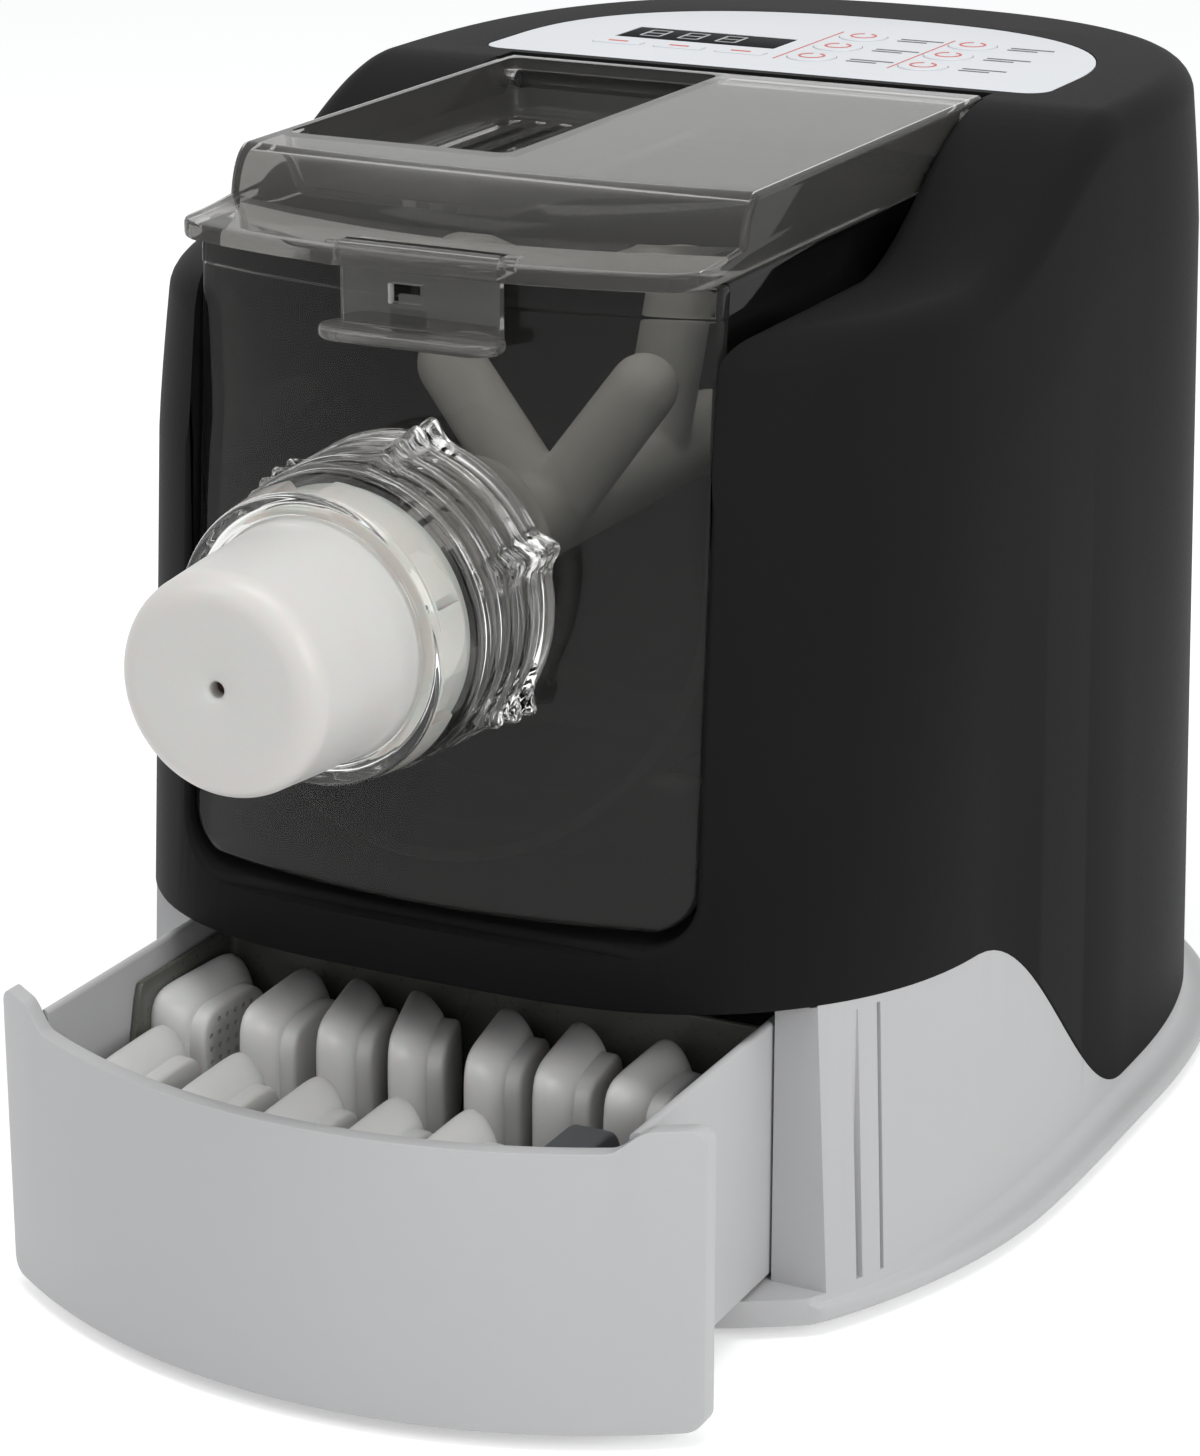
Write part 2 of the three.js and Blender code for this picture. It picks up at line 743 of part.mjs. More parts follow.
for (const side of [-1, 1]) {
  const inner = drawerHalf + fit.seat;
  const outer = inner + rail.thickness;
  const low = base.floorZ + fit.seat;
  const flange = drawer.bottomZ - fit.seat;
  const wallXs = [side * inner, side * outer].sort((a, b) => a - b);
  const footXs = [side * (outer - rail.width), side * outer].sort((a, b) => a - b);
  const guide = block(wallXs[0], wallXs[1], rail.frontY, rail.rearY, low, flange + rail.height);
  const runner = block(footXs[0], footXs[1], rail.frontY, rail.rearY, low, flange);
  piece(side < 0 ? "drawer_rail_left" : "drawer_rail_right", join(guide, runner), colours.base, 0.6);
}

// The rack's inner front face at x, the front row's places behind it, then the rear row behind those
function rackFaceY(x) {
  const radius = drawer.arcRadius - drawer.panelThickness - 2 * fit.seat - rack.wall;
  return drawer.panelFrontY + drawer.arcRadius - Math.sqrt(radius * radius - x * x);
}
const frontRowPlaces = frontRow.leftShares.map((share, i) => {
  const x = share * rackHalf;
  return { x, y: rackFaceY(x) + frontRow.gaps[i] + die.half };
});
const rearRowY = frontRowPlaces[0].y + 2 * die.half + fit.seat;

const beforeDrawer = (depth) => frontRegion(drawer.arcRadius, drawer.panelFrontY, depth, 0, 0);

function drawerFront() {
  const half = panelHalf;
  const ear = half - drawer.earWidth;
  const radius = drawer.earRadius;
  const shape = new THREE.Shape();
  shape.moveTo(-half + radius, drawer.panelBottomZ);
  shape.lineTo(half - radius, drawer.panelBottomZ);
  shape.quadraticCurveTo(half, drawer.panelBottomZ, half, drawer.panelBottomZ + radius);
  shape.lineTo(half, drawerTopZ + drawer.earRise - radius);
  shape.quadraticCurveTo(half, drawerTopZ + drawer.earRise, half - radius, drawerTopZ + drawer.earRise);
  shape.lineTo(ear + radius, drawerTopZ + drawer.earRise);
  shape.quadraticCurveTo(ear, drawerTopZ + drawer.earRise, ear, (drawerTopZ + drawer.earRise + drawerTopZ) / 2);
  shape.quadraticCurveTo(ear, drawerTopZ, ear - radius, drawerTopZ);
  shape.lineTo(-ear + radius, drawerTopZ);
  shape.quadraticCurveTo(-ear, drawerTopZ, -ear, (drawerTopZ + drawer.earRise + drawerTopZ) / 2);
  shape.quadraticCurveTo(-ear, drawerTopZ + drawer.earRise, -ear - radius, drawerTopZ + drawer.earRise);
  shape.lineTo(-half + radius, drawerTopZ + drawer.earRise);
  shape.quadraticCurveTo(-half, drawerTopZ + drawer.earRise, -half, drawerTopZ + drawer.earRise - radius);
  shape.lineTo(-half, drawer.panelBottomZ + radius);
  shape.quadraticCurveTo(-half, drawer.panelBottomZ, -half + radius, drawer.panelBottomZ);
  const slab = alongY(shape, drawer.panelFrontY - fit.overrun, base.mouthY);
  return cut(slab.intersect(beforeDrawer(drawer.panelThickness)), beforeDrawer(0));
}
piece("drawer_front", drawerFront(), colours.base, 0.5);

function drawerBox() {
  const half = drawerHalf;
  const wall = drawer.wall;
  const far = drawer.panelFrontY - fit.overrun;
  const outer = block(-half, half, far, drawer.rearY, drawer.bottomZ, drawerTopZ);
  const space = block(-half + wall, half - wall, far, drawer.rearY - wall, drawer.bottomZ + wall, drawerTopZ + wall);
  const front = beforeDrawer(drawer.panelThickness + fit.seat);
  return cut(outer, space, front);
}
piece("drawer_box", drawerBox(), colours.base, 0.5);

function dieRack() {
  const { wall } = rack;
  const rearY = rearRowY + rack.rearRun;
  const stepY = rearRowY - rack.stepRun;
  const topZ = drawerTopZ - rack.rimDrop;
  const low = drawer.bottomZ + drawer.wall + fit.seat;
  const far = drawer.panelFrontY - fit.overrun;
  const gap = drawer.panelThickness + 2 * fit.seat;
  const half = rackHalf - wall;
  const body = block(-rackHalf, rackHalf, far, rearY, low, topZ);
  const well = cut(block(-half, half, far, stepY, frontFloorZ, topZ + wall), beforeDrawer(gap + wall));
  const shelf = block(-half, half, stepY - wall, rearY - wall, rearFloorZ, topZ + wall);
  return cut(body, beforeDrawer(gap), well, shelf);
}
piece("die_rack", dieRack(), colours.tray, 0.3, 0, 0.6);

// A stored shape die on edge: square rim to the left, rounded shoulder, round plug to the right
function storedDie(leftX, y, bottomZ, yawShare) {
  const { half, plugRadius, edge, roundPowerShare } = die;
  const slab = rackHalf * die.slabShare;
  const shoulder = rackHalf * die.shoulderShare;
  const plug = rackHalf * die.plugShare;
  const drop = half - plugRadius - edge;
  const sections = [
    [0, half - edge / 2, roundPowerShare],
    [edge / 2, half, roundPowerShare],
    [slab, half - edge / 2, roundPowerShare],
    [slab + shoulder / 2, half - drop / 2, (roundPowerShare + 1) / 2],
    [slab + shoulder, plugRadius + edge, 2],
    [slab + shoulder + edge / 2, plugRadius, 2],
    [slab + shoulder + plug, plugRadius, 2],
  ];
  const rings = sections.map(([x, size, power]) => {
    const ring = [];
    for (let i = 0; i < die.pointShares; i++) {
      const angle = (i / die.pointShares) * 2 * Math.PI - Math.PI / 2;
      const radius = size * (Math.abs(Math.cos(angle)) ** power + Math.abs(Math.sin(angle)) ** power) ** (-1 / power);
      ring.push(new THREE.Vector3(x, radius * Math.cos(angle), radius * Math.sin(angle)));
    }
    return ring;
  });
  const geometry = geometryOf(loft(rings));
  return solid(geometry.rotateZ(yawShare * 2 * Math.PI).translate(leftX, y, bottomZ + half));
}

rearRow.leftShares.forEach((share, i) => {
  const shape = storedDie(share * rackHalf, rearRowY, rearFloorZ + fit.seat, rearRow.yawShares[i]);
  piece(`die_rear_${i + 1}`, shape, colours.white, 0.5);
});
frontRowPlaces.forEach((place, i) => {
  const shape = storedDie(place.x, place.y, frontFloorZ + fit.seat, frontRow.yawShare);
  piece(`die_front_${i + 1}`, shape, colours.white, 0.5);
});

function doughCutter() {
  const { width, corner } = cutter;
  const leftX = rackHalf * cutter.leftShare;
  const frontY = rackFaceY(leftX + width) + cutter.gap;
  const rearY = frontY + cutter.length;
  const low = frontFloorZ + fit.seat;
  const high = low + 2 * die.half;
  const shape = new THREE.Shape();
  shape.moveTo(frontY, low);
  shape.lineTo(rearY, low);
  shape.lineTo(rearY, high - corner);
  shape.quadraticCurveTo(rearY, high, rearY - corner, high);
  shape.lineTo(frontY + corner, high);
  shape.quadraticCurveTo(frontY, high, frontY, high - corner);
  shape.lineTo(frontY, low);
  return alongX(shape, leftX, leftX + width);
}
piece("dough_cutter", doughCutter(), colours.motor, 0.5);

function mixingDrum() {
  const trough = (radius, top) => {
    const shape = new THREE.Shape();
    shape.moveTo(-radius, top);
    shape.lineTo(-radius, axisZ);
    shape.absarc(0, axisZ, radius, Math.PI, 2 * Math.PI, false);
    shape.lineTo(radius, top);
    return shape;
  };
  const front = plateFaceY(plateBottomZ) - fit.overrun;
  const { wall, rearY } = drum;
  let shell = alongY(trough(drumHalf, drumTopZ), front, rearY, 14);
  const saddleLow = bayFloorZ + fit.seat;
  const saddleHalf = drumHalf - drum.saddleInset;
  for (const y of drum.saddleY) {
    const half = drum.saddleThickness / 2;
    const saddle = block(-saddleHalf, saddleHalf, y - half, y + half, saddleLow, axisZ - drumHalf + drum.saddleRise);
    shell = join(shell, saddle);
  }
  shell = cut(shell, alongY(trough(drumHalf - wall, drumTopZ + wall), front - wall, rearY - wall, 14));
  shell = cut(shell, beforePlate(frontPlate.thickness + fit.seat));
  const above = drumTopZ + fit.overrun;
  shell = cut(shell, block(-drumHalf, drumHalf, rearY - 2 * wall, rearY + wall, drumRearTopZ, above));
  return cut(shell, rodY(gears.shaftRadius + fit.running, rearY - 2 * wall, rearY + wall, 0, axisZ));
}
piece("mixing_drum", mixingDrum(), colours.smoke, 0.12, 0, 0.45);

function drumFrontPlate() {
  const { topCorner, bottomCorner, thickness } = frontPlate;
  const shape = frame(-plateHalf, plateHalf, plateBottomZ, plateTopZ, topCorner, bottomCorner);
  const slab = alongY(shape, hull.frontY - fit.overrun, bay.rearY);
  const plate = cut(slab.intersect(beforePlate(thickness)), beforePlate(0));
  const faceY = plateFaceY(axisZ);
  const collar = rodY(nozzle.collarRadius, nozzle.collarEndY, faceY + thickness, 0, axisZ, 40);
  const bore = rodY(nozzle.boreRadius, nozzle.collarEndY - thickness, faceY + 2 * thickness, 0, axisZ, 40);
  const catchX = latch.windowX;
  const catchFace = plateFaceY(catchTopZ);
  const bump = block(
    catchX - frontPlate.catchHalfWidth,
    catchX + frontPlate.catchHalfWidth,
    catchFace - frontPlate.catchDepth,
    catchFace + thickness / 2,
    catchTopZ - frontPlate.catchHeight,
    catchTopZ,
  );
  return cut(join(plate, collar, bump), bore);
}
piece("drum_front_plate", drumFrontPlate(), colours.smoke, 0.1, 0, 0.45);

function lidShell() {
  const { wall, topFrontY, noseY, rearY, kneeY } = lid;
  const skirtZ = lidSkirtZ;
  const top = deckZ;
  const outline = (gap) => {
    const shape = new THREE.Shape();
    const low = gap ? skirtZ - fit.overrun : skirtZ;
    shape.moveTo(noseY + gap, low);
    shape.lineTo(gap ? kneeY - gap : kneeY, low);
    if (!gap) shape.lineTo(rearY, skirtZ + lid.kneeRise);
    shape.lineTo(rearY - gap, top - gap);
    shape.lineTo(topFrontY, top - gap);
    shape.bezierCurveTo(
      (topFrontY + noseY) / 2,
      top - gap,
      noseY + gap,
      top - lid.noseDrop - gap,
      noseY + gap,
      skirtZ + gap,
    );
    shape.lineTo(noseY + gap, low);
    return shape;
  };
  const half = lidHalf;
  const lipRegion = (depth) => frontRegion(frontPlate.arcRadius, lid.lipFrontY, depth, 0, 0);
  let shell = alongX(outline(0), -half, half, 10);
  shell = cut(shell, lipRegion(lid.lipFrontY * -1 + lid.noseY));
  const hollow = cut(alongX(outline(wall), -half + wall, half - wall, 10), lipRegion(lid.noseY - lid.lipFrontY + wall));
  shell = cut(shell, hollow);
  const lipBand = lipRegion(lid.lipDepth).subtract(lipRegion(0));
  const lip = lipBand.intersect(block(-half, half, lid.lipFrontY - wall, topFrontY, skirtZ, skirtZ + lid.lipThickness));
  shell = join(shell, lip);
  const rearCut = block(-half, half, rearY - wall - fit.seat, rearY + wall, skirtZ - wall, top - lid.rearSkirtDrop);
  shell = cut(shell, rearCut);
  const tray = (grow) => {
    const shape = new THREE.Shape();
    shape.moveTo(lid.trayFrontY - grow, deckZ - lid.trayFrontDrop - grow);
    shape.lineTo(lid.trayRearY + grow, deckZ - lid.trayRearDrop - grow);
    shape.lineTo(lid.trayRearY + grow, top + (grow ? 0 : wall));
    shape.lineTo(lid.trayFrontY - grow, top + (grow ? 0 : wall));
    shape.lineTo(lid.trayFrontY - grow, deckZ - lid.trayFrontDrop - grow);
    return alongX(shape, trayLeftX - grow, lid.trayRightX + grow);
  };
  shell = cut(join(shell, tray(wall)), tray(0));
  for (let i = 0; i < lid.slots; i++) {
    const x = trayLeftX + lid.slotGap + i * (lid.slotGap + lid.slotWidth);
    const rear = lid.trayRearY - lid.slotGap;
    shell = cut(shell, block(x, x + lid.slotWidth, rear - lid.slotLength, rear, deckZ - lid.trayRearDrop - fit.overrun, top));
  }
  shell = cut(shell, rodX(lid.pinRadius + fit.seat, -half - wall, half + wall, lid.hingeY, hingeZ));
  const notchHalf = latch.halfWidth + fit.running;
  const barrelSpace = latch.barrelRadius + fit.running;
  const notch = block(
    -notchHalf,
    notchHalf,
    latch.pivotY - barrelSpace,
    latch.pivotY + barrelSpace,
    skirtZ - wall,
    latchPivotZ + barrelSpace,
  );
  const pinEnd = latch.halfWidth + latch.pinOverhang + fit.seat;
  return cut(shell, notch, rodX(latch.pinRadius + fit.seat, -pinEnd, pinEnd, latch.pivotY, latchPivotZ, 12));
}
piece("lid", lidShell(), colours.smoke, 0.1, 0, 0.45);

for (const side of [-1, 1]) {
  const ends = [side * pinInnerX, side * pinOuterX].sort((a, b) => a - b);
  const pin = rodX(lid.pinRadius, ends[0], ends[1], lid.hingeY, hingeZ);
  piece(side < 0 ? "lid_pin_left" : "lid_pin_right", pin, colours.steel, 0.3, 0.9);
}

function lidLatch() {
  const { halfWidth, thickness, pivotY, barrelRadius, shelfThickness, shelfFrontY, shelfHalfWidth } = latch;
  const pivotZ = latchPivotZ;
  const tongueFront = pivotY - thickness / 2;
  const tongueRear = pivotY + thickness / 2;
  const barrel = rodX(barrelRadius, -halfWidth, halfWidth, pivotY, pivotZ);
  const tongue = block(-halfWidth, halfWidth, tongueFront, tongueRear, shelfZ, pivotZ);
  const shelfShape = new THREE.Shape();
  const corner = latch.shelfCorner;
  shelfShape.moveTo(-shelfHalfWidth, tongueRear);
  shelfShape.lineTo(-shelfHalfWidth, shelfFrontY + corner);
  shelfShape.quadraticCurveTo(-shelfHalfWidth, shelfFrontY, -shelfHalfWidth + corner, shelfFrontY);
  shelfShape.lineTo(shelfHalfWidth - corner, shelfFrontY);
  shelfShape.quadraticCurveTo(shelfHalfWidth, shelfFrontY, shelfHalfWidth, shelfFrontY + corner);
  shelfShape.lineTo(shelfHalfWidth, tongueRear);
  const shelf = alongZ(shelfShape, shelfZ, shelfZ + shelfThickness);
  const hole = block(
    latch.windowX - latch.windowWidth / 2,
    latch.windowX + latch.windowWidth / 2,
    tongueFront - thickness,
    tongueRear + thickness,
    lidSkirtZ - latch.windowDrop - latch.windowHeight / 2,
    lidSkirtZ - latch.windowDrop + latch.windowHeight / 2,
  );
  const bore = rodX(latch.pinRadius + fit.seat, -halfWidth - thickness, halfWidth + thickness, pivotY, pivotZ, 12);
  return cut(join(barrel, tongue, shelf), hole, bore);
}
piece("lid_latch", lidLatch(), colours.smoke, 0.1, 0, 0.5);
const latchPinEnd = latch.halfWidth + latch.pinOverhang;
piece("latch_pin", rodX(latch.pinRadius, -latchPinEnd, latchPinEnd, latch.pivotY, latchPivotZ, 12), colours.steel, 0.3, 0.9);

// Ring nut: stepped ridges with pointed lobes that fade towards the front
function ringNut() {
  const { rearY, frontY, ridgeEndY, neckRadius, frontRadius, ridgeRise, ridges, lobeRise, lobes } = nut;
  const stations = [];
  const run = (rearY - ridgeEndY) / ridges;
  for (let i = 0; i < ridges; i++) {
    const start = rearY - i * run;
    const fade = 1 - i / (2 * ridges);
    const crest = neckRadius + ridgeRise * fade;
    stations.push([start, crest, fade], [start - run * nut.landShare, crest, fade]);
    stations.push([start - run * nut.grooveShare, neckRadius, fade * nut.grooveShare]);
  }
  stations.push([ridgeEndY, neckRadius, nut.fadeShare], [(ridgeEndY + frontY) / 2, (neckRadius + frontRadius) / 2, 0]);
  stations.push([frontY + nut.lipThickness / 2, frontRadius, 0], [frontY, frontRadius - nut.lipThickness / 2, 0]);
  const rings = stations.map(([y, radius, lobe]) => {
    const ring = [];
    for (let i = 0; i < nut.pointShares; i++) {
      const turn = (i / nut.pointShares) * 2 * Math.PI;
      const peak = Math.abs(Math.cos((turn * lobes) / 2)) ** nut.lobePowerShare;
      const r = radius + lobeRise * lobe * peak;
      ring.push(new THREE.Vector3(r * Math.sin(turn), y, axisZ + r * Math.cos(turn)));
    }
    return ring;
  });
  const outside = loft(rings);
  const bore = nozzle.collarRadius + fit.running;
  const mouth = dieHead.domeRearRadius + fit.running;
  const bottom = frontY + nut.lipThickness;
  const beyond = nut.lipThickness * 2;
  const inside = join(rodY(bore, bottom, rearY + beyond, 0, axisZ, 48), rodY(mouth, frontY - beyond, bottom + beyond, 0, axisZ, 48));
  return cut(outside, inside);
}
piece("ring_nut", ringNut(), colours.clear, 0.05, 0, 0.35);

function nozzleDie() {
  const seatY = nut.frontY + nut.lipThickness + fit.seat;
  const rearY = nozzle.collarEndY - fit.seat;
  const flange = nozzle.collarRadius;
  const { frontY, edgeRadius, domeRearRadius, domeFrontRadius, cavityRearRadius, cavityFrontRadius, frontWall, holeRadius } = dieHead;
  const points = [
    [cavityRearRadius, rearY],
    [flange, rearY],
    [flange, seatY],
    [domeRearRadius, seatY],
    [domeFrontRadius, frontY + edgeRadius],
  ];
  for (const share of [0.33, 0.66, 1]) {
    const angle = (share * Math.PI) / 2;
    points.push([
      domeFrontRadius - edgeRadius * (1 - Math.cos(angle)),
      frontY + edgeRadius * (1 - Math.sin(angle)),
    ]);
  }
  points.push([holeRadius, frontY], [holeRadius, frontY + frontWall], [cavityFrontRadius, frontY + frontWall]);
  points.push([cavityRearRadius, rearY]);
  return turned(points, 36);
}
piece("nozzle_die", nozzleDie(), colours.white, 0.45);

function mixingPaddle() {
  const hub = rodY(paddle.hubRadius, paddle.hubFrontY, paddle.hubRearY, 0, axisZ, 20);
  const arm = (turn, y, gap) => {
    const length = drumHalf - drum.wall - gap - paddle.armRadius;
    const bar = new THREE.CapsuleGeometry(paddle.armRadius, length, 4, 12).translate(0, length / 2, 0);
    bar.rotateX(Math.PI / 2).rotateY(turn * 2 * Math.PI);
    return solid(bar.translate(0, y, axisZ));
  };
  const arms = [
    arm(-paddle.armSpreadShare, paddle.armFrontY, paddle.armGap),
    arm(paddle.armSpreadShare, paddle.armFrontY, paddle.armGap),
    arm(paddle.rearArmShare, paddle.armRearY, paddle.rearArmGap),
  ];
  const socket = rodY(paddle.socketRadius, paddle.hubRearY - paddle.socketDepth, paddle.hubRearY + paddle.hubRadius, 0, axisZ, 20);
  return cut(join(hub, ...arms), socket);
}
piece("mixing_paddle", mixingPaddle(), colours.white, 0.45);

function augerScrew() {
  const rings = [];
  const rearY = paddle.hubFrontY - fit.seat;
  for (let step = 0; step <= auger.steps; step++) {
    const share = step / auger.steps;
    const y = rearY + (auger.frontY - rearY) * share;
    const turn = share * auger.turns * 2 * Math.PI;
    const ring = [];
    for (let i = 0; i < auger.pointShares; i++) {
      const angle = (i / auger.pointShares) * 2 * Math.PI;
      const peak = ((1 + Math.cos(angle - turn)) / 2) ** 3;
      const r = auger.coreRadius + (auger.flightRadius - auger.coreRadius) * peak;
      ring.push(new THREE.Vector3(r * Math.sin(angle), y, axisZ + r * Math.cos(angle)));
    }
    rings.push(ring);
  }
  return loft(rings);
}
piece("auger_screw", augerScrew(), colours.white, 0.45);

// A spur gear about the Y axis at x, z. Turn places a tooth, in shares of one tooth pitch, from straight down.
function spurGear(teeth, module, y, x, z, bore, turn) {
  const pitchRadius = (teeth * module) / 2;
  const tip = pitchRadius + module - fit.seat;
  const root = pitchRadius - module * 1.25;
  const shape = new THREE.Shape();
  const pitch = (2 * Math.PI) / teeth;
  for (let i = 0; i < teeth; i++) {
    const middle = -Math.PI / 2 + (i + turn) * pitch;
    const corners = [
      [root, -0.31],
      [tip, -0.1],
      [tip, 0.1],
      [root, 0.31],
    ];
    for (const [radius, share] of corners) {
      const angle = middle + share * pitch;
      const px = radius * Math.cos(angle);
      const pz = radius * Math.sin(angle);
      if (i === 0 && share === corners[0][1]) shape.moveTo(px, pz);
      else shape.lineTo(px, pz);
    }
  }
  const run = new THREE.ExtrudeGeometry(shape, { depth: gears.toothWidth, bevelEnabled: false });
  const blank = solid(run.rotateX(Math.PI / 2).translate(x, y + gears.toothWidth, z));
  return cut(blank, rodY(bore, y - gears.toothWidth, y + 2 * gears.toothWidth, x, z));
}

const running = fit.seat;
const outputShaftRear = gears.outputY + gears.toothWidth + gearbox.wall;
piece(
  "output_shaft",
  rodY(gears.shaftRadius, paddle.hubRearY - paddle.socketDepth + fit.seat, outputShaftRear, 0, axisZ),
  colours.steel,
  0.3,
  0.9,
);
piece(
  "output_gear",
  spurGear(gears.teeth, gears.outputModule, gears.outputY, 0, outputZ, gears.shaftRadius + running, 0),
  colours.white,
  0.6,
);

function idlerGear() {
  const small = spurGear(gears.pinionTeeth, gears.outputModule, gears.outputY, 0, idlerZ, gears.idlerShaftRadius + fit.running, 0.5);
  const motorShare = (motorTurn / (2 * Math.PI)) * gears.teeth;
  const large = spurGear(gears.teeth, gears.motorModule, gears.motorY, 0, idlerZ, gears.idlerShaftRadius + fit.running, motorShare);
  const ring = cut(
    rodY(gears.idlerShaftRadius * 2, gears.outputY + gears.toothWidth - fit.seat, gears.motorY + fit.seat, 0, idlerZ),
    rodY(gears.idlerShaftRadius + fit.running, gears.outputY, gears.motorY + gears.toothWidth, 0, idlerZ),
  );
  return join(small, large, ring);
}
piece("idler_gear", idlerGear(), colours.white, 0.6);
piece(
  "idler_shaft",
  rodY(gears.idlerShaftRadius, gearbox.frontY + fit.seat, gearbox.rearY - fit.seat, 0, idlerZ, 20),
  colours.steel,
  0.3,
  0.9,
);

// The pinion's gap faces the wheel it meshes with
const facing = Math.PI - motorTurn;
const pinionShare = (facing / (2 * Math.PI)) * gears.pinionTeeth * -1 + 0.5;
piece(
  "motor_pinion",
  spurGear(gears.pinionTeeth, gears.motorModule, gears.motorY, motorX, motorZ, gears.motorShaftRadius + running, pinionShare),
  colours.steel,
  0.4,
  0.8,
);

function gearboxHalf(y0, y1, openRear) {
  const { halfWidth, wall, corner } = gearbox;
  const bottomZ = baseDeckZ + deck.thickness + fit.seat;
  const topZ = axisZ + gearbox.rise;
  const outside = alongY(frame(-halfWidth, halfWidth, bottomZ, topZ, corner), y0, y1);
  const inner = frame(-halfWidth + wall, halfWidth - wall, bottomZ + wall, topZ - wall, corner - wall);
  const space = openRear ? alongY(inner, y0 + wall, y1 + wall) : alongY(inner, y0 - wall, y1 - wall);
  const shaftHole = rodY(gears.shaftRadius + fit.running, y0 - wall, y0 + 2 * wall, 0, axisZ);
  const idlerHole = rodY(gears.idlerShaftRadius + fit.seat, y0 - wall, y1 + wall, 0, idlerZ, 20);
  const motorHole = rodY(gears.motorShaftRadius + fit.running, y1 - 2 * wall, y1 + wall, motorX, motorZ, 20);
  return openRear ? cut(outside, space, shaftHole, idlerHole) : cut(outside, space, idlerHole, motorHole);
}
piece("gearbox_case", gearboxHalf(gearbox.frontY, gearbox.splitY, true), colours.motor, 0.6);
piece("gearbox_cover", gearboxHalf(gearbox.splitY + fit.seat, gearbox.rearY, false), colours.motor, 0.6);

function bearing() {
  const y0 = bay.rearY + hull.skin + fit.seat;
  const outside = rodY(gears.shaftRadius * 2, bay.rearY + fit.seat, gearbox.frontY - fit.seat, 0, axisZ);
  const ring = cut(outside, rodY(gears.shaftRadius * 4, bay.rearY, y0, 0, axisZ));
  const sleeveRadius = gears.shaftRadius + panel.deckWindowMargin - fit.seat;
  const sleeve = rodY(sleeveRadius, bay.rearY + fit.seat, y0 + fit.seat, 0, axisZ);
  return cut(join(ring, sleeve), rodY(gears.shaftRadius + fit.running, bay.rearY - hull.skin, gearbox.frontY, 0, axisZ));
}
piece("shaft_bearing", bearing(), colours.steel, 0.35, 0.8);

function motorBody() {
  const can = rodY(motor.radius, motorFrontY, motorRearY, motorX, motorZ, 32);
  const shaftSpace = rodY(gears.motorShaftRadius + fit.running, motorFrontY - fit.overrun, motorRearY + fit.overrun, motorX, motorZ, 20);
  return cut(can, shaftSpace);
}
piece("motor_can", motorBody(), colours.motor, 0.4, 0.6);
piece(
  "motor_shaft",
  rodY(gears.motorShaftRadius, gears.motorY - gearbox.wall, motorRearY + fit.slide + motor.fanDepth, motorX, motorZ, 20),
  colours.steel,
  0.3,
  0.9,
);

function coolingFan() {
  const y0 = motorRearY + fit.slide;
  const y1 = y0 + motor.fanDepth;
  let fan = rodY(motor.fanHub, y0, y1, motorX, motorZ, 20);
  for (let i = 0; i < motor.blades; i++) {
    const blade = new THREE.BoxGeometry(motor.bladeThickness, motor.fanDepth, motor.fanRadius - motor.fanHub / 2);
    blade.translate(0, 0, (motor.fanRadius + motor.fanHub / 2) / 2);
    blade.rotateY((i / motor.blades) * 2 * Math.PI);
    fan = join(fan, solid(blade.translate(motorX, (y0 + y1) / 2, motorZ)));
  }
  return cut(fan, rodY(gears.motorShaftRadius + fit.seat, y0 - fit.slide, y1 + fit.slide, motorX, motorZ, 20));
}
piece("cooling_fan", coolingFan(), colours.rubber, 0.6);

function controlPanel() {
  let overlay = alongZ(panelShape(0), panelBottomZ, panelBottomZ + panel.thickness);
  const low = panelBottomZ - panel.thickness;
  const high = deckZ + panel.thickness;
  const screen = block(
    display.leftX - fit.seat,
    display.rightX + fit.seat,
    display.frontY - fit.seat,
    display.rearY + fit.seat,
    low,
    high,
  );
  overlay = cut(overlay, screen);
  for (const place of keyPlaces) overlay = cut(overlay, keyPrism(place, fit.seat, low, high));
  return overlay;
}
piece("control_panel", controlPanel(), colours.panel, 0.4);
piece(
  "display_window",
  block(display.leftX, display.rightX, display.frontY, display.rearY, boardTopZ + fit.seat, deckZ),
  colours.screen,
  0.1,
);
piece(
  "control_board",
  block(-board.halfWidth, board.halfWidth, board.frontY, board.rearY, boardTopZ - board.thickness, boardTopZ),
  colours.board,
  0.5,
);
for (const place of keyPlaces) {
  const low = deckZ + keys.stand - keys.stem;
  piece(place.name, keyPrism(place, 0, low, deckZ + keys.stand), colours.panel, 0.4);
}

function powerInlet() {
  const { x, halfWidth, halfHeight, depth, flange, flangeThickness, corner } = inlet;
  const z = hull.seamZ + inlet.rise;
  const wallY = hullPoint(Math.PI / 2, z - halfHeight - flange, 0).y + fit.seat;
  const body = alongY(frame(x - halfWidth, x + halfWidth, z - halfHeight, z + halfHeight, corner), wallY - depth, wallY);
  const rim = frame(x - halfWidth - flange, x + halfWidth + flange, z - halfHeight - flange, z + halfHeight + flange, corner);
  const plate = alongY(rim, wallY, wallY + flangeThickness);
  const mouth = frame(
    x - halfWidth + flange,
    x + halfWidth - flange,
    z - halfHeight + flange,
    z + halfHeight - flange,
    corner - flange / 2,
  );
  return cut(join(body, plate), alongY(mouth, wallY - depth + flange, wallY + depth));
}
piece("power_inlet", powerInlet(), colours.rubber, 0.5);

// The frame's origin is under the middle of the whole object, on the surface it stands on
const middle = new THREE.Box3().setFromObject(machine).getCenter(new THREE.Vector3());
for (const mesh of machine.children) mesh.geometry.translate(0, -middle.y, 0);

export default machine;
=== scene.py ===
from math import cos, pi, radians, sin, sqrt
import bpy
import bmesh
import numpy as np
from mathutils import Matrix, Vector


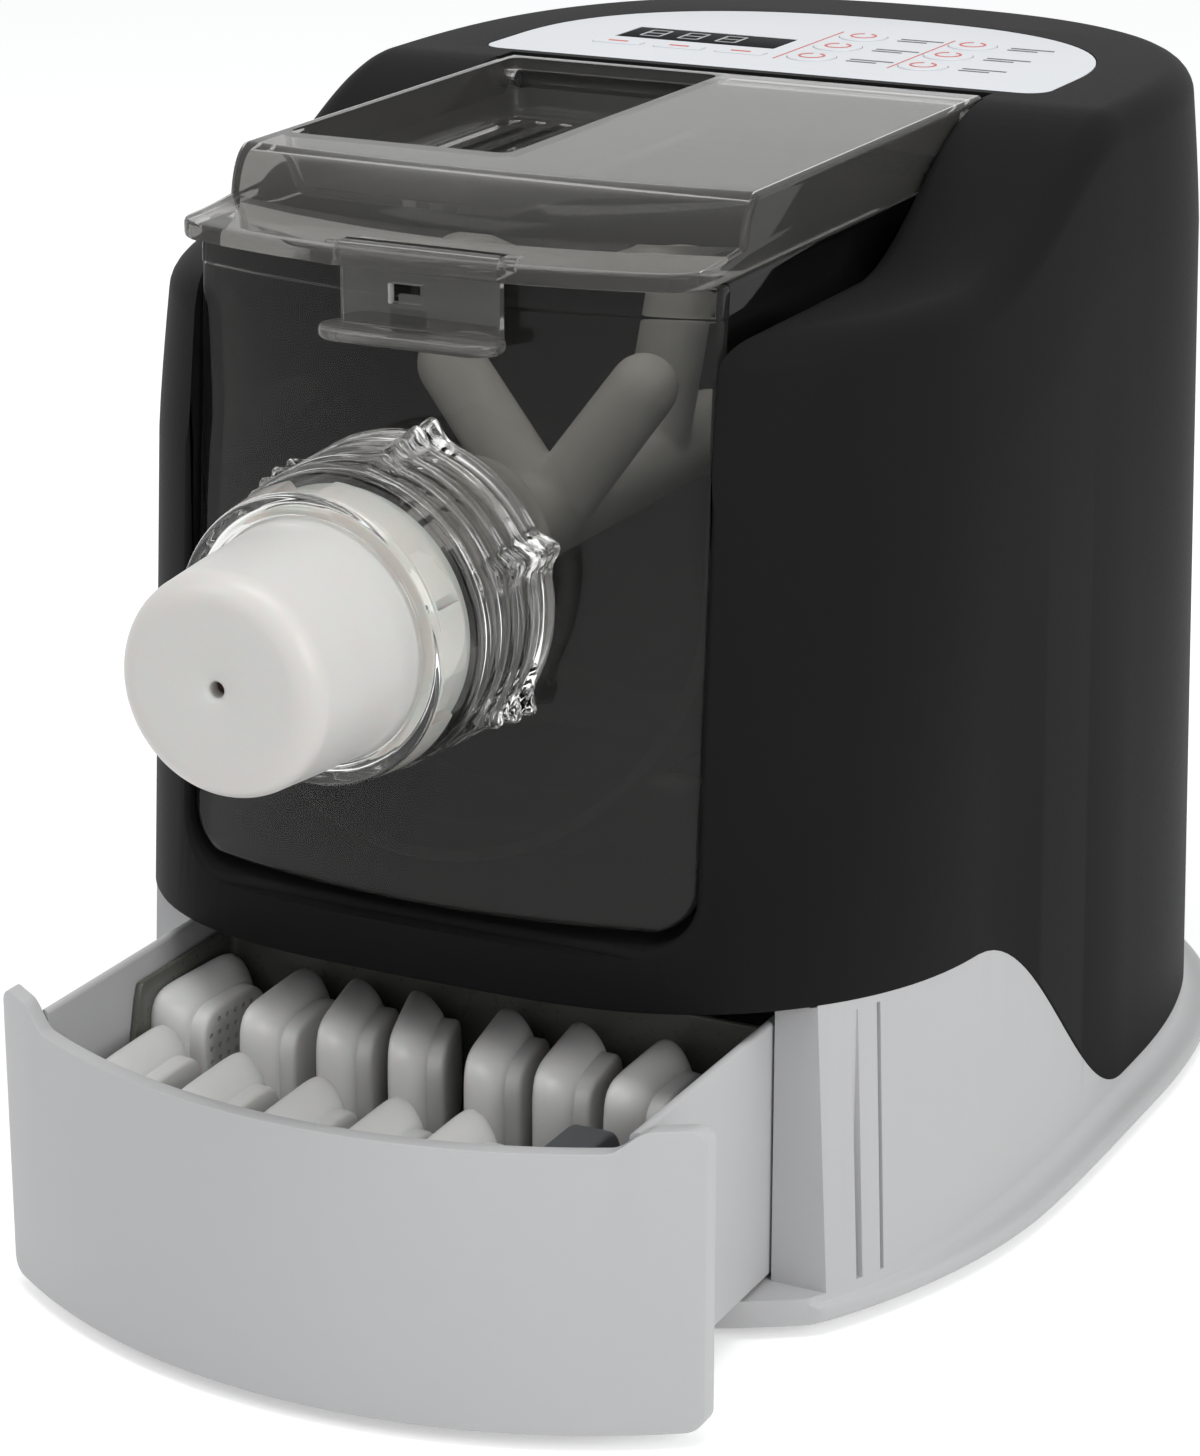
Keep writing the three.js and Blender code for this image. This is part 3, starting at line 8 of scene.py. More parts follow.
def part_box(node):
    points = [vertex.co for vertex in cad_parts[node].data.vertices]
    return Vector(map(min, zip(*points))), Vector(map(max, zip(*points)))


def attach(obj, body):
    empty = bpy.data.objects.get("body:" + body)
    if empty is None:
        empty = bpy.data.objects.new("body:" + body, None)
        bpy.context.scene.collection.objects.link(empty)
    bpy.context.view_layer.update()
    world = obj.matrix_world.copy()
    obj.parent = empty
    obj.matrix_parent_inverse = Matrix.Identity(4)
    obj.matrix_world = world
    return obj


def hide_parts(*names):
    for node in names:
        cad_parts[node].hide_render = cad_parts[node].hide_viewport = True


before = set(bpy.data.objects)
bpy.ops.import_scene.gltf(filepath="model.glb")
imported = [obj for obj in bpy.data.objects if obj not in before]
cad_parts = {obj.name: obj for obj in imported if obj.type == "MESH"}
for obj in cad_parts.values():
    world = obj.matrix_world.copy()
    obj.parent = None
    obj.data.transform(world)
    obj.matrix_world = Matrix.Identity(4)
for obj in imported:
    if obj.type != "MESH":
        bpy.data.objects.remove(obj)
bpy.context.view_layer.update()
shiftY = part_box("nozzle_die")[0].y * 1000 + 195  # the pieces below are drawn in millimetres, before this shift
axisZ = 194.5  # height of the axis that the nozzle, the ring nut and the paddle share
print("stage: frame loaded, shift", round(shiftY, 3))


def newPiece(name, points, faces):
    placed = np.asarray(points, float).copy()
    placed[:, 1] += shiftY
    mesh = bpy.data.meshes.new(name)
    mesh.from_pydata((placed / 1000).tolist(), [], faces)
    tidy = bmesh.new()
    tidy.from_mesh(mesh)
    bmesh.ops.remove_doubles(tidy, verts=tidy.verts, dist=1e-6)
    bmesh.ops.recalc_face_normals(tidy, faces=tidy.faces)
    if tidy.calc_volume(signed=True) < 0:
        bmesh.ops.reverse_faces(tidy, faces=tidy.faces)
    tidy.to_mesh(mesh)
    tidy.free()
    piece = bpy.data.objects.new(name, mesh)
    bpy.context.scene.collection.objects.link(piece)
    return piece


def sideFaces(rows, count, around=False):
    faces = []
    for r in range(rows if around else rows - 1):
        a, b = r * count, (r + 1) % rows * count
        faces += [(a + i, a + (i + 1) % count, b + (i + 1) % count, b + i) for i in range(count)]
    return faces


def loftPiece(name, rings, caps="strip", around=False):
    count, total = len(rings[0]), len(rings)
    faces = sideFaces(total, count, around)
    for start in () if around else (0, (total - 1) * count):
        if caps == "fan":
            faces.append([start + i for i in range(count)])
            continue
        for i in range(count // 2):
            corner = []
            for k in (i, (count - i) % count, count - i - 1, i + 1):
                if start + k not in corner:
                    corner.append(start + k)
            if len(corner) > 2:
                faces.append(corner)
    return newPiece(name, np.concatenate(rings), faces)


# rows of open outlines, closed across from first point to last, with strips over both ends
def mirroredLoft(name, rows):
    count = len(rows[0])
    faces = sideFaces(len(rows), count)
    for start in (0, (len(rows) - 1) * count):
        for i in range(count // 2 - 1):
            faces.append((start + i, start + i + 1, start + count - i - 2, start + count - i - 1))
        if count % 2:
            middle = count // 2
            faces.append((start + middle - 1, start + middle, start + middle + 1))
    return newPiece(name, np.concatenate(rows), faces)


# profile points are radius and y, turned about the nozzle axis
def lathe(name, profile, sides=96, x=0, z=axisZ, closed=True):
    rings = []
    for radius, y in profile:
        turn = np.arange(sides) / sides * 2 * pi
        rings.append(np.stack([x + radius * np.sin(turn), np.full(sides, y), z + radius * np.cos(turn)], 1))
    return loftPiece(name, rings, caps="fan", around=closed)


def quarter(steps, first=0):
    return [k / steps * pi / 2 for k in range(first, steps + 1)]


def flatRing(outline, level, axis="z"):
    a, b = np.asarray(outline, float).T
    fixed = np.full(len(a), float(level))
    return np.stack({"x": (fixed, a, b), "y": (a, fixed, b), "z": (a, b, fixed)}[axis], 1)


def prism(name, outline, low, high, axis="z"):
    return loftPiece(name, [flatRing(outline, level, axis) for level in (low, high)], caps="fan")


def block(name, x0, x1, y0, y1, z0, z1):
    return prism(name, [(x0, y0), (x1, y0), (x1, y1), (x0, y1)], z0, z1)


def rod(name, radius, low, high, across, up, axis="y", sides=64):
    turn = np.arange(sides) / sides * 2 * pi
    outline = np.stack([across + radius * np.cos(turn), up + radius * np.sin(turn)], 1)
    return prism(name, outline, low, high, axis)


# corner is one radius, or four from lower left round to upper left
def roundedBox(x0, x1, y0, y1, corner, steps=8):
    radii = corner if isinstance(corner, (list, tuple)) else [corner] * 4
    centres = [(x0, y0, 1, 1), (x1, y0, -1, 1), (x1, y1, -1, -1), (x0, y1, 1, -1)]
    outline = []
    for k, ((cx, cy, sx, sy), r) in enumerate(zip(centres, radii)):
        for i in range(steps + 1):
            turn = pi + (k + i / steps) * pi / 2
            outline.append((cx + sx * r + r * cos(turn), cy + sy * r + r * sin(turn)))
    return outline


def rimmed(name, outlineAt, low, high, rim, axis="z", steps=4, both=True):
    turns = [k / steps * pi / 2 for k in range(steps + 1)]
    rings = [flatRing(outlineAt(0), low, axis)]
    if both:
        rings = [flatRing(outlineAt(rim * (1 - sin(t))), low + rim * (1 - cos(t)), axis) for t in turns]
    rings += [flatRing(outlineAt(rim * (1 - sin(t))), high - rim * (1 - cos(t)), axis) for t in turns[::-1]]
    return loftPiece(name, rings, caps="fan")


def rimmedBox(name, x0, x1, y0, y1, low, high, corner, rim, axis="z", steps=8, both=True):
    def outlineAt(inset):
        return roundedBox(x0 + inset, x1 - inset, y0 + inset, y1 - inset, max(corner - inset, 0.08), steps)

    return rimmed(name, outlineAt, low, high, rim, axis, both=both)


# the wall stands inside the path, which runs clockwise when seen from above
def wallRun(name, path, thickness, lowZ, highAt, rim, closed=False):
    path = np.asarray(path, float)
    count = len(path)
    rings = []
    for i in range(count):
        before, after = path[(i - 1) % count], path[(i + 1) % count]
        if not closed:
            before, after = path[max(i - 1, 0)], path[min(i + 1, count - 1)]
        ahead = (after - before) / np.linalg.norm(after - before)
        inward = np.array([ahead[1], -ahead[0]])
        top = float(highAt(path[i][1]))
        section = [(0, lowZ)]
        for turn in quarter(4):
            section.append((rim * (1 - cos(turn)), top - rim * (1 - sin(turn))))
        for k in range(5):
            turn = (1 - k / 4) * pi / 2
            section.append((thickness - rim * (1 - cos(turn)), top - rim * (1 - sin(turn))))
        section.append((thickness, lowZ))
        rings.append([(*(path[i] + inward * across), z) for across, z in section])
    return loftPiece(name, rings, caps="fan", around=closed)


def applied(piece):
    bpy.context.view_layer.update()
    graph = bpy.context.evaluated_depsgraph_get()
    done = bpy.data.meshes.new_from_object(piece.evaluated_get(graph))
    piece.modifiers.clear()
    piece.data = done
    return piece


def combine(piece, tools, operation="DIFFERENCE"):
    for tool in tools:
        step = piece.modifiers.new("combine", "BOOLEAN")
        step.operation = operation
        step.solver = "MANIFOLD"
        step.object = tool
    applied(piece)
    for tool in tools:
        bpy.data.objects.remove(tool)
    return piece


def bevelled(piece, width, segments, angle):
    step = piece.modifiers.new("soften", "BEVEL")
    step.width = width / 1000
    step.segments = segments
    step.limit_method = "ANGLE"
    step.angle_limit = radians(angle)


def soften(piece, width, segments=2, angle=40):
    bevelled(piece, width, segments, angle)
    return applied(piece)


# many-sided flat faces become triangles, so that every renderer fills them alike
def splitFlats(piece):
    work = bmesh.new()
    work.from_mesh(piece.data)
    bmesh.ops.triangulate(work, faces=[f for f in work.faces if len(f.verts) > 4], ngon_method="EAR_CLIP")
    work.to_mesh(piece.data)
    work.free()


def dress(piece, material, body, nodes, sharp=35):
    splitFlats(piece)
    piece.data.materials.clear()
    piece.data.materials.append(material)
    piece.data.shade_smooth()
    piece.data.set_sharp_from_angle(angle=radians(sharp))
    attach(piece, body)
    if nodes:
        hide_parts(*nodes)
    return piece


def ease(t):
    s = np.clip(t, 0, 1)
    return s * s * (3 - 2 * s)


def setInputs(node, **values):
    for socket, value in values.items():
        node.inputs[socket.replace("_", " ")].default_value = value
    return node


plasticLook = dict(
    driftScale=14, driftDetail=3, driftEdges=(0.3, 0.7), grainDetail=2, glossSpread=0.08, bumpHeight=0.0004)


# a moulded plastic: slight colour drift, fine grain in the gloss and in the surface
def plastic(name, color, roughness, grain=300, depth=0.02, mottle=0.03, **sockets):
    material = bpy.data.materials.new(name)
    material.use_nodes = True
    nodes, links = material.node_tree.nodes, material.node_tree.links
    shader = nodes["Principled BSDF"]
    place = nodes.new("ShaderNodeTexCoord")
    drift = setInputs(nodes.new("ShaderNodeTexNoise"), Scale=plasticLook["driftScale"],
                      Detail=plasticLook["driftDetail"])
    links.new(place.outputs["Object"], drift.inputs["Vector"])
    tones = nodes.new("ShaderNodeValToRGB")
    for element, edge, change in zip(tones.color_ramp.elements, plasticLook["driftEdges"], (-mottle, mottle)):
        element.position = edge
        element.color = [min(1, c * (1 + change)) for c in color] + [1]
    links.new(drift.outputs["Fac"], tones.inputs["Fac"])
    links.new(tones.outputs["Color"], shader.inputs["Base Color"])
    fine = setInputs(nodes.new("ShaderNodeTexNoise"), Scale=grain, Detail=plasticLook["grainDetail"])
    links.new(place.outputs["Object"], fine.inputs["Vector"])
    spread = plasticLook["glossSpread"]
    gloss = setInputs(nodes.new("ShaderNodeMapRange"), To_Min=roughness * (1 - spread),
                      To_Max=roughness * (1 + spread))
    links.new(fine.outputs["Fac"], gloss.inputs["Value"])
    links.new(gloss.outputs["Result"], shader.inputs["Roughness"])
    bump = setInputs(nodes.new("ShaderNodeBump"), Strength=depth, Distance=plasticLook["bumpHeight"])
    links.new(fine.outputs["Fac"], bump.inputs["Height"])
    links.new(bump.outputs["Normal"], shader.inputs["Normal"])
    setInputs(shader, **sockets)
    return material


smokeTint = (0.46, 0.455, 0.44)
clear = (0.03, 260, 0.004, 0.02)
housingBlack = plastic("housing_black_satin", (0.0125, 0.0125, 0.0128), 0.50, 900, 0.06, 0.05,
                       Specular_IOR_Level=0.02)
baseGrey = plastic("base_grey_satin", (0.50, 0.50, 0.505), 0.42, 700, 0.03, 0.01, Specular_IOR_Level=0.35)
drawerGrey = plastic("drawer_grey_satin", (0.50, 0.50, 0.505), 0.42, 700, 0.03, 0.01, Specular_IOR_Level=0.35)
dieWhite = plastic("die_white", (0.68, 0.68, 0.665), 0.4, 500, 0.03, 0.015, Subsurface_Weight=0.12,
                   Subsurface_Scale=0.006)
nozzleWhite = plastic("nozzle_white", (0.62, 0.612, 0.588), 0.36, 500, 0.03, 0.01, Subsurface_Weight=0.25,
                      Subsurface_Scale=0.012)
paddleWhite = plastic("paddle_white", (0.80, 0.79, 0.76), 0.4, 500, 0.03, 0.02)
windowSmoke = plastic("window_smoke", smokeTint, *clear, Transmission_Weight=0.985, IOR=1.24,
                      Specular_IOR_Level=0.3)
drumSmoke = plastic("drum_smoke", smokeTint, *clear, Transmission_Weight=1.0, IOR=1.22, Specular_IOR_Level=0.3)
smoke = plastic("smoke_clear", smokeTint, *clear, Transmission_Weight=0.93, IOR=1.16)
latchSmoke = plastic("latch_smoke", (0.42, 0.415, 0.40), 0.04, 260, 0.004, 0.02, Transmission_Weight=0.88,
                     IOR=1.34, Specular_IOR_Level=0.4)
clearPlastic = plastic("clear_plastic", (0.97, 0.97, 0.955), 0.015, 260, 0.004, 0.005, Transmission_Weight=1.0,
                       IOR=1.49)
rackSmoke = plastic("rack_tray_smoke", (0.115, 0.115, 0.100), 0.28, 400, 0.02, 0.08, Specular_IOR_Level=0.4)
panelGrey = plastic("panel_grey", (0.66, 0.68, 0.71), 0.34, 800, 0.03, 0.01)
printRed = plastic("print_red", (0.55, 0.055, 0.035), 0.4, 500, 0.02, 0.05)
printDark = plastic("print_dark", (0.03, 0.03, 0.034), 0.4, 500, 0.02, 0.05)
displayDark = plastic("display_dark", (0.014, 0.015, 0.016), 0.3, 300, 0.005, 0.1, Specular_IOR_Level=0.02,
                      IOR=1.1)
digitGrey = plastic("digit_grey", (0.16, 0.18, 0.19), 0.2, 300, 0.005, 0.05)
rubber = plastic("foot_rubber", (0.30, 0.30, 0.30), 0.75, 600, 0.1, 0.06)
blackPlastic = plastic("black_plastic", (0.014, 0.014, 0.014), 0.5, 600, 0.08, 0.08)
darkGrey = plastic("dark_grey_plastic", (0.09, 0.095, 0.10), 0.5, 500, 0.05, 0.05)
gearWhite = plastic("gear_white", (0.72, 0.71, 0.68), 0.5, 500, 0.05, 0.03)
boardGreen = plastic("board_green", (0.015, 0.09, 0.035), 0.45, 200, 0.05, 0.15)
steel = plastic("steel", (0.55, 0.55, 0.56), 0.28, 900, 0.03, 0.04, Metallic=1.0)
motorSteel = plastic("motor_steel", (0.33, 0.34, 0.36), 0.42, 700, 0.04, 0.06, Metallic=1.0)
print("stage: materials made")


hull = dict(
    halfWidth=121.5, centreY=95, frontY=-107, rearY=238, referenceZ=70, sideDraft=0.022, frontRake=0.06,
    rearDraft=0.04, frontPower=3.5, rearPower=2.5, deckZ=291, armZ=260, armEndY=-8, deckStartY=84, seamZ=91,
    seamDip=6, seamDipY=-13, lobeZ=13, lobeY=89, skin=3, edgeRadius=9, crownHeight=45, crownInset=2,
    points=288, innerPoints=144)


def hullReach(z, inset):
    rise = z - hull["referenceZ"]
    half = hull["halfWidth"] - rise * hull["sideDraft"] - inset
    front = hull["centreY"] - hull["frontY"] - rise * hull["frontRake"] - inset
    rear = hull["rearY"] - hull["centreY"] - rise * hull["rearDraft"] - inset
    return half, front, rear


def hullRing(heightOf, inset, count=None):
    count = count or hull["points"]
    angle = np.arange(count) / count * 2 * pi - pi / 2

    def at(z, drawnIn):
        half, front, rear = hullReach(z, drawnIn)
        isFront = np.sin(angle) < 0
        power = np.where(isFront, hull["frontPower"], hull["rearPower"])
        lengthways = np.where(isFront, front, rear)
        across, along = np.abs(np.cos(angle) / half), np.abs(np.sin(angle) / lengthways)
        radius = (across ** power + along ** power) ** (-1 / power)
        return radius * np.cos(angle), hull["centreY"] + radius * np.sin(angle)

    x, y = at(np.full(count, float(hull["referenceZ"])), 0)
    drawnIn = inset(y) if callable(inset) else inset
    for _ in range(3):
        z = heightOf(y) + 0 * y
        x, y = at(z, drawnIn)
    return np.stack([x, y, z], 1)


def crestZ(y):
    rise = ease((y - hull["armEndY"]) / (hull["deckStartY"] - hull["armEndY"]))
    return hull["armZ"] + (hull["deckZ"] - hull["armZ"]) * rise


def seamZ(y):
    front = hull["seamZ"] - hull["seamDip"] * ease((y - hull["frontY"]) / (hull["seamDipY"] - hull["frontY"]))
    return front + (hull["lobeZ"] - front) * ease((y - hull["seamDipY"]) / (hull["lobeY"] - hull["seamDipY"]))


def hullFrontY(x, z):
    half, front, _ = hullReach(z, 0)
    return hull["centreY"] - front * (1 - np.abs(x / half) ** hull["frontPower"]) ** (1 / hull["frontPower"])


housing = dict(
    bayHalf=73.3, bayFloorZ=107.5, corner=13, ledgeZ=269.5, ledgeFrontY=60, ledgeY=90.6, flare=7.5,
    flareRear=1.2, flareFadeY=(8, 66), frontRounding=2.2, underRounding=1.6, crownSteps=5, crownPower=1.3,
    arcSteps=8, probeZ=200, wallTopZ=250, over=30, ahead=40,
    bayStations=(-86, -60, -34, -12, *(k * 5.0 for k in range(-1, 17)), 82), hingeY=82, hingeZ=285,
    pinBore=2.8, bearingRadius=9)


def housingSkin(name, lift=0.0):
    rings = [hullRing(lambda y: seamZ(y) + lift, housing["underRounding"]),
             hullRing(lambda y: seamZ(y) + lift + 0.5, 0.5),
             hullRing(lambda y: seamZ(y) + lift + housing["underRounding"], 0)]
    fillet = hull["edgeRadius"]
    for k in range(housing["crownSteps"]):
        share = k / housing["crownSteps"]
        drop = hull["crownHeight"] + (fillet - hull["crownHeight"]) * share
        rings.append(hullRing(lambda y: crestZ(y) - drop, hull["crownInset"] * share ** housing["crownPower"]))
    for turn in quarter(housing["arcSteps"]):
        drop = fillet * (1 - sin(turn))
        rings.append(hullRing(lambda y: crestZ(y) - drop, hull["crownInset"] + fillet * (1 - cos(turn))))
    return loftPiece(name, rings)


def bayRow(yOf, grow, flare):
    half, floor, corner = housing["bayHalf"] + grow, housing["bayFloorZ"] - grow, housing["corner"] + grow
    steps = housing["arcSteps"]
    right = []
    for k in range(steps + 1):
        turn = -pi / 2 + k / steps * pi / 2
        right.append((half - corner + corner * cos(turn), floor + corner + corner * sin(turn), 0))
    for share in (0.25, 0.5, 0.75):
        right.append((half, floor + corner + (housing["wallTopZ"] - floor - corner) * share, 0))
    # without a z: the share of the flared edge, whose height follows y
    right += [(half, None, k / steps) for k in range(steps + 1)]
    right.append((half, None, 2))
    row = []
    for side in (-1, 1):
        ordered = right[::-1] if side < 0 else right
        for x, z, share in ordered:
            y = yOf(x, housing["probeZ"] if z is None else z)
            radius = flare(y)
            if z is None:
                crest = float(crestZ(y))
                if share <= 1:
                    turn = share * pi / 2
                    z = crest - radius * (1 - sin(turn)) - 0.001
                    x = x + radius * (1 - cos(turn))
                else:
                    z = hull["deckZ"] + housing["over"]
                    x = x + radius
            row.append((side * x, y, z))
    return row


def bayCutter():
    def flare(y):
        fadeStart, fadeEnd = housing["flareFadeY"]
        fade = ease((y - fadeStart) / (fadeEnd - fadeStart))
        return float(housing["flare"] + (housing["flareRear"] - housing["flare"]) * fade)

    rounding = housing["frontRounding"]
    rows = [bayRow(lambda x, z: float(hullFrontY(x, z)) - housing["ahead"], rounding, flare)]
    for turn in np.linspace(0, pi / 2, 7):
        back = rounding * (1 - cos(turn))
        rows.append(bayRow(lambda x, z: float(hullFrontY(x, z)) + back, rounding * (1 - sin(turn)), flare))
    for y in housing["bayStations"]:
        rows.append(bayRow(lambda x, z: y, 0, flare))
    return mirroredLoft("bayCutter", rows)


overlay = dict(
    half=86, frontY=94.5, sideY=118, rearY=191, corner=7, power=2.4, steps=64, cornerSteps=8, lowZ=289.8,
    topZ=291, rim=0.3, gap=0.3)


def panelOutline(margin):
    half, corner, power = overlay["half"] + margin, overlay["corner"] + margin, overlay["power"]
    front, reach = overlay["frontY"] - margin, overlay["rearY"] - overlay["sideY"] + margin
    outline = []
    for turn in quarter(overlay["cornerSteps"]):
        outline.append((half - corner + corner * sin(turn), front + corner - corner * cos(turn)))
    mirrored = [(-x, y) for x, y in outline[::-1]]
    for k in range(overlay["steps"] + 1):
        turn = k / overlay["steps"] * pi
        radius = (abs(cos(turn) / half) ** power + abs(sin(turn) / reach) ** power) ** (-1 / power)
        outline.append((radius * cos(turn), overlay["sideY"] + radius * sin(turn)))
    return outline + mirrored


# an opening in the rear is its half width, its low and high z, and its corner
hollows = dict(
    floorDrop=40, shoulderDrop=12, topInset=12, bayCorner=16, lowY=-150, bayRearY=85, highZ=340,
    vents=range(-4, 5), ventPitch=9, vent=(1.7, 150, 215, 1.69), inlet=(14.3, 108.7, 131.3, 3),
    rearY=(198, 278), keyWindow=(-62, 50, 112, 168, 280, 300), recessZ=(289.5, 320), bearingY=(79, 90))
body = housingSkin("housing_shell")
skin = hull["skin"]
count = hull["innerPoints"]
inner = [hullRing(lambda y: y * 0 - hollows["floorDrop"], skin, count),
         hullRing(lambda y: crestZ(y) - hull["crownHeight"], skin, count),
         hullRing(lambda y: crestZ(y) - hollows["shoulderDrop"], skin + 2, count),
         hullRing(lambda y: crestZ(y) - skin, hollows["topInset"], count)]
wallHalf, highZ, lowY = housing["bayHalf"] + skin, hollows["highZ"], hollows["lowY"]
corners = [hollows["bayCorner"], hollows["bayCorner"], 0.1, 0.1]
around = roundedBox(-wallHalf, wallHalf, housing["bayFloorZ"] - skin, highZ, corners)
cavity = combine(loftPiece("cavity", inner), [
    prism("around_bay", around, lowY, hollows["bayRearY"], "y"),
    block("around_ledge", -wallHalf, wallHalf, lowY, housing["ledgeY"] + skin, housing["ledgeZ"] - skin,
          highZ)])
tools = [cavity, bayCutter(),
         block("ledge", -housing["bayHalf"], housing["bayHalf"], housing["ledgeFrontY"], housing["ledgeY"],
               housing["ledgeZ"], highZ),
         prism("panel_recess", panelOutline(overlay["gap"]), *hollows["recessZ"]),
         block("key_window", *hollows["keyWindow"])]
openings = [(i * hollows["ventPitch"], *hollows["vent"]) for i in hollows["vents"]] + [(0, *hollows["inlet"])]
for x, half, low, high, corner in openings:
    outline = roundedBox(x - half, x + half, low, high, corner)
    tools.append(prism("rear_opening", outline, *hollows["rearY"], "y"))
tools.append(rod("bearing_hole", housing["bearingRadius"], *hollows["bearingY"], 0, axisZ))
reach = wallHalf + 1
tools.append(rod("pin_bore", housing["pinBore"], -reach, reach, housing["hingeY"], housing["hingeZ"], "x", 24))
combine(body, tools)
dress(body, housingBlack, "machine", ["main_housing"], 32)
print("stage: housing", len(body.data.polygons))


# a level of the base is its z, its inset and its share of the flare
base = dict(
    lip=8, lipFrontShare=0.1, lipStartY=-80, lipFullY=20, innerZ=7, inset=6, seat=0.3, mouthHalf=85.8,
    mouthRearY=-64, mouthFloorZ=11, porchY=-72, innerFrontY=-68, bowY=-108, grooves=((-63, 2.0), (-55, 1.2)),
    grooveDepth=1.4, grooveZ=(12, 86), low=-40, high=150, wide=170, far=-200, levels=((3.5, 1.2, 1),
        (3.8, 0.45, 1), (4.7, 0, 1), (6.6, 0, 1), (7.4, 0, 0.93), (7.9, 0, 0.8), (8.15, 0, 0.6), (8.5, 0, 0.4),
        (9.2, 0.3, 0.2), (10.4, 0.3, 0.06), (12, 0.3, 0), (97, 0.3, 0)))
drawer = dict(
    panelHalf=100, frontY=-174, thickness=4.4, panelBottomZ=4.5, panelTopZ=79, earZ=84.5, earStart=89,
    earRun=10, cornerRadius=4, earRadius=4.5, arcRadius=172, boxGap=4.7, linerGap=5.0, rimRounding=1.3)


# everything in front of a curved, raked front face, drawn back by depth
def beforeArc(name, arcRadius, frontY, depth, rake=0.0, referenceZ=0.0, low=-40, high=330, wide=165, far=-260):
    radius = arcRadius - depth
    centreY = frontY + arcRadius
    xs = np.linspace(-wide, wide, 121)
    xs = xs[np.abs(xs) < radius - 1]
    line = [(x, centreY - sqrt(radius * radius - x * x)) for x in xs]
    outline = [(-xs[-1], far), (xs[-1], far)] + line[::-1]
    rings = []
    for z in (low, high):
        rings.append([(x, y + (z - referenceZ) * rake if y > far + 1 else y, z) for x, y in outline])
    return loftPiece(name, rings, caps="fan")


def flare(y):
    reach = ease((y - base["lipStartY"]) / (base["lipFullY"] - base["lipStartY"]))
    return base["lip"] * (base["lipFrontShare"] + (1 - base["lipFrontShare"]) * reach)


def level(z):
    return lambda y: y * 0 + z


def between(name, inset, low, high):
    return loftPiece(name, [hullRing(level(low), inset), hullRing(level(high), inset)])


rings = [hullRing(level(z), lambda y: inset - flare(y) * share) for z, inset, share in base["levels"]]
tub = loftPiece("base_shell", rings)
low, high, wide, far = base["low"], base["high"], base["wide"], base["far"]
seat = housingSkin("housing_seat", -base["seat"])
combine(seat, [between("tongue", hull["skin"] + base["seat"], low, high - 10)])
hollow = between("base_hollow", base["inset"], base["innerZ"], high - 10)
combine(hollow, [block("keep_front", -wide, wide, far, base["innerFrontY"], low, high)])
mouthHalf, mouthZ = base["mouthHalf"], base["mouthFloorZ"]
tools = [seat, hollow, block("mouth", -mouthHalf, mouthHalf, far, base["mouthRearY"], mouthZ, high),
         block("porch", -wide, wide, far, base["porchY"], mouthZ, high),
         beforeArc("bow", drawer["arcRadius"], base["bowY"], 0)]
wall = hullRing(level(50), base["seat"])
wallX = abs(float(wall[np.argmin(np.abs(wall[:, 1] - base["grooves"][0][0])), 0]))
for side in (-1, 1):
    for y, width in base["grooves"]:
        x0, x1 = sorted((side * (wallX + 12), side * (wallX - base["grooveDepth"])))
        tools.append(block("groove", x0, x1, y, y + width, *base["grooveZ"]))
combine(tub, tools)
dress(tub, baseGrey, "machine", ["base_tub"], 30)
print("stage: base", len(tub.data.polygons))

feet = dict(
    places=(("front_left", -86, -66), ("front_right", 86, -66), ("rear_left", -84, 180),
        ("rear_right", 84, 180)),
    profile=((0, 0.15), (4, 0), (8.2, 0), (9.4, 0.5), (10, 1.4), (10, 3.2), (0, 3.2)))
for name, x, y in feet["places"]:
    foot = lathe("foot_" + name + "_pad", feet["profile"], 48, 0, 0, closed=False)
    foot.data.transform(Matrix.Translation((0, -shiftY / 1000, 0)))
    foot.data.transform(Matrix.Rotation(pi / 2, 4, "X"))
    foot.data.transform(Matrix.Translation((x / 1000, (y + shiftY) / 1000, 0)))
    dress(foot, rubber, "machine", ["foot_" + name])


def drawerFrontOutline():
    half, top, earTop = drawer["panelHalf"], drawer["panelTopZ"], drawer["earZ"]
    low, foot, ear = drawer["panelBottomZ"], drawer["cornerRadius"], drawer["earRadius"]
    outline = []
    for cx, cz, r, start in ((half - foot, low + foot, foot, -90), (half - ear, earTop - ear, ear, 0)):
        for k in range(9):
            turn = radians(start + k / 8 * 90)
            outline.append((cx + r * cos(turn), cz + r * sin(turn)))
    for k in range(13):
        share = k / 12
        fall = (earTop - top) * float(ease(share))
        outline.append((drawer["earStart"] - drawer["earRun"] * share, earTop - fall))
    return outline + [(-x, z) for x, z in outline[::-1]]


face = dict(arcRadius=224, frontY=-103.5, rake=0.0817, lowZ=111)  # the front plate's curved, raked face


def arcY(x, frontY, depth, arcRadius=face["arcRadius"]):
    radius = arcRadius - depth
    return frontY + arcRadius - sqrt(radius * radius - x * x)


def drawerY(x, depth):
    return arcY(x, drawer["frontY"], depth, drawer["arcRadius"])


def beforeDrawer(name, depth):
    return beforeArc(name, drawer["arcRadius"], drawer["frontY"], depth)


front = prism("drawer_front_panel", drawerFrontOutline(), -215, -72, "y")
combine(front, [beforeDrawer("inside", drawer["thickness"])], "INTERSECT")
combine(front, [beforeDrawer("outside", 0)])
soften(front, drawer["rimRounding"], 3, 50)
dress(front, drawerGrey, "drawer", ["drawer_front"], 40)


def uPath(half, rearY, frontY, corner, steps=8):
    path = [(-half, frontY), (-half, frontY + 20)]
    path += [(-half, y) for y in np.linspace(frontY + 30, rearY - corner - 8, 9)]
    for k in range(steps + 1):
        turn = k / steps * pi / 2
        path.append((-half + corner * (1 - cos(turn)), rearY - corner * (1 - sin(turn))))
    return path + [(-x, y) for x, y in path[::-1]]


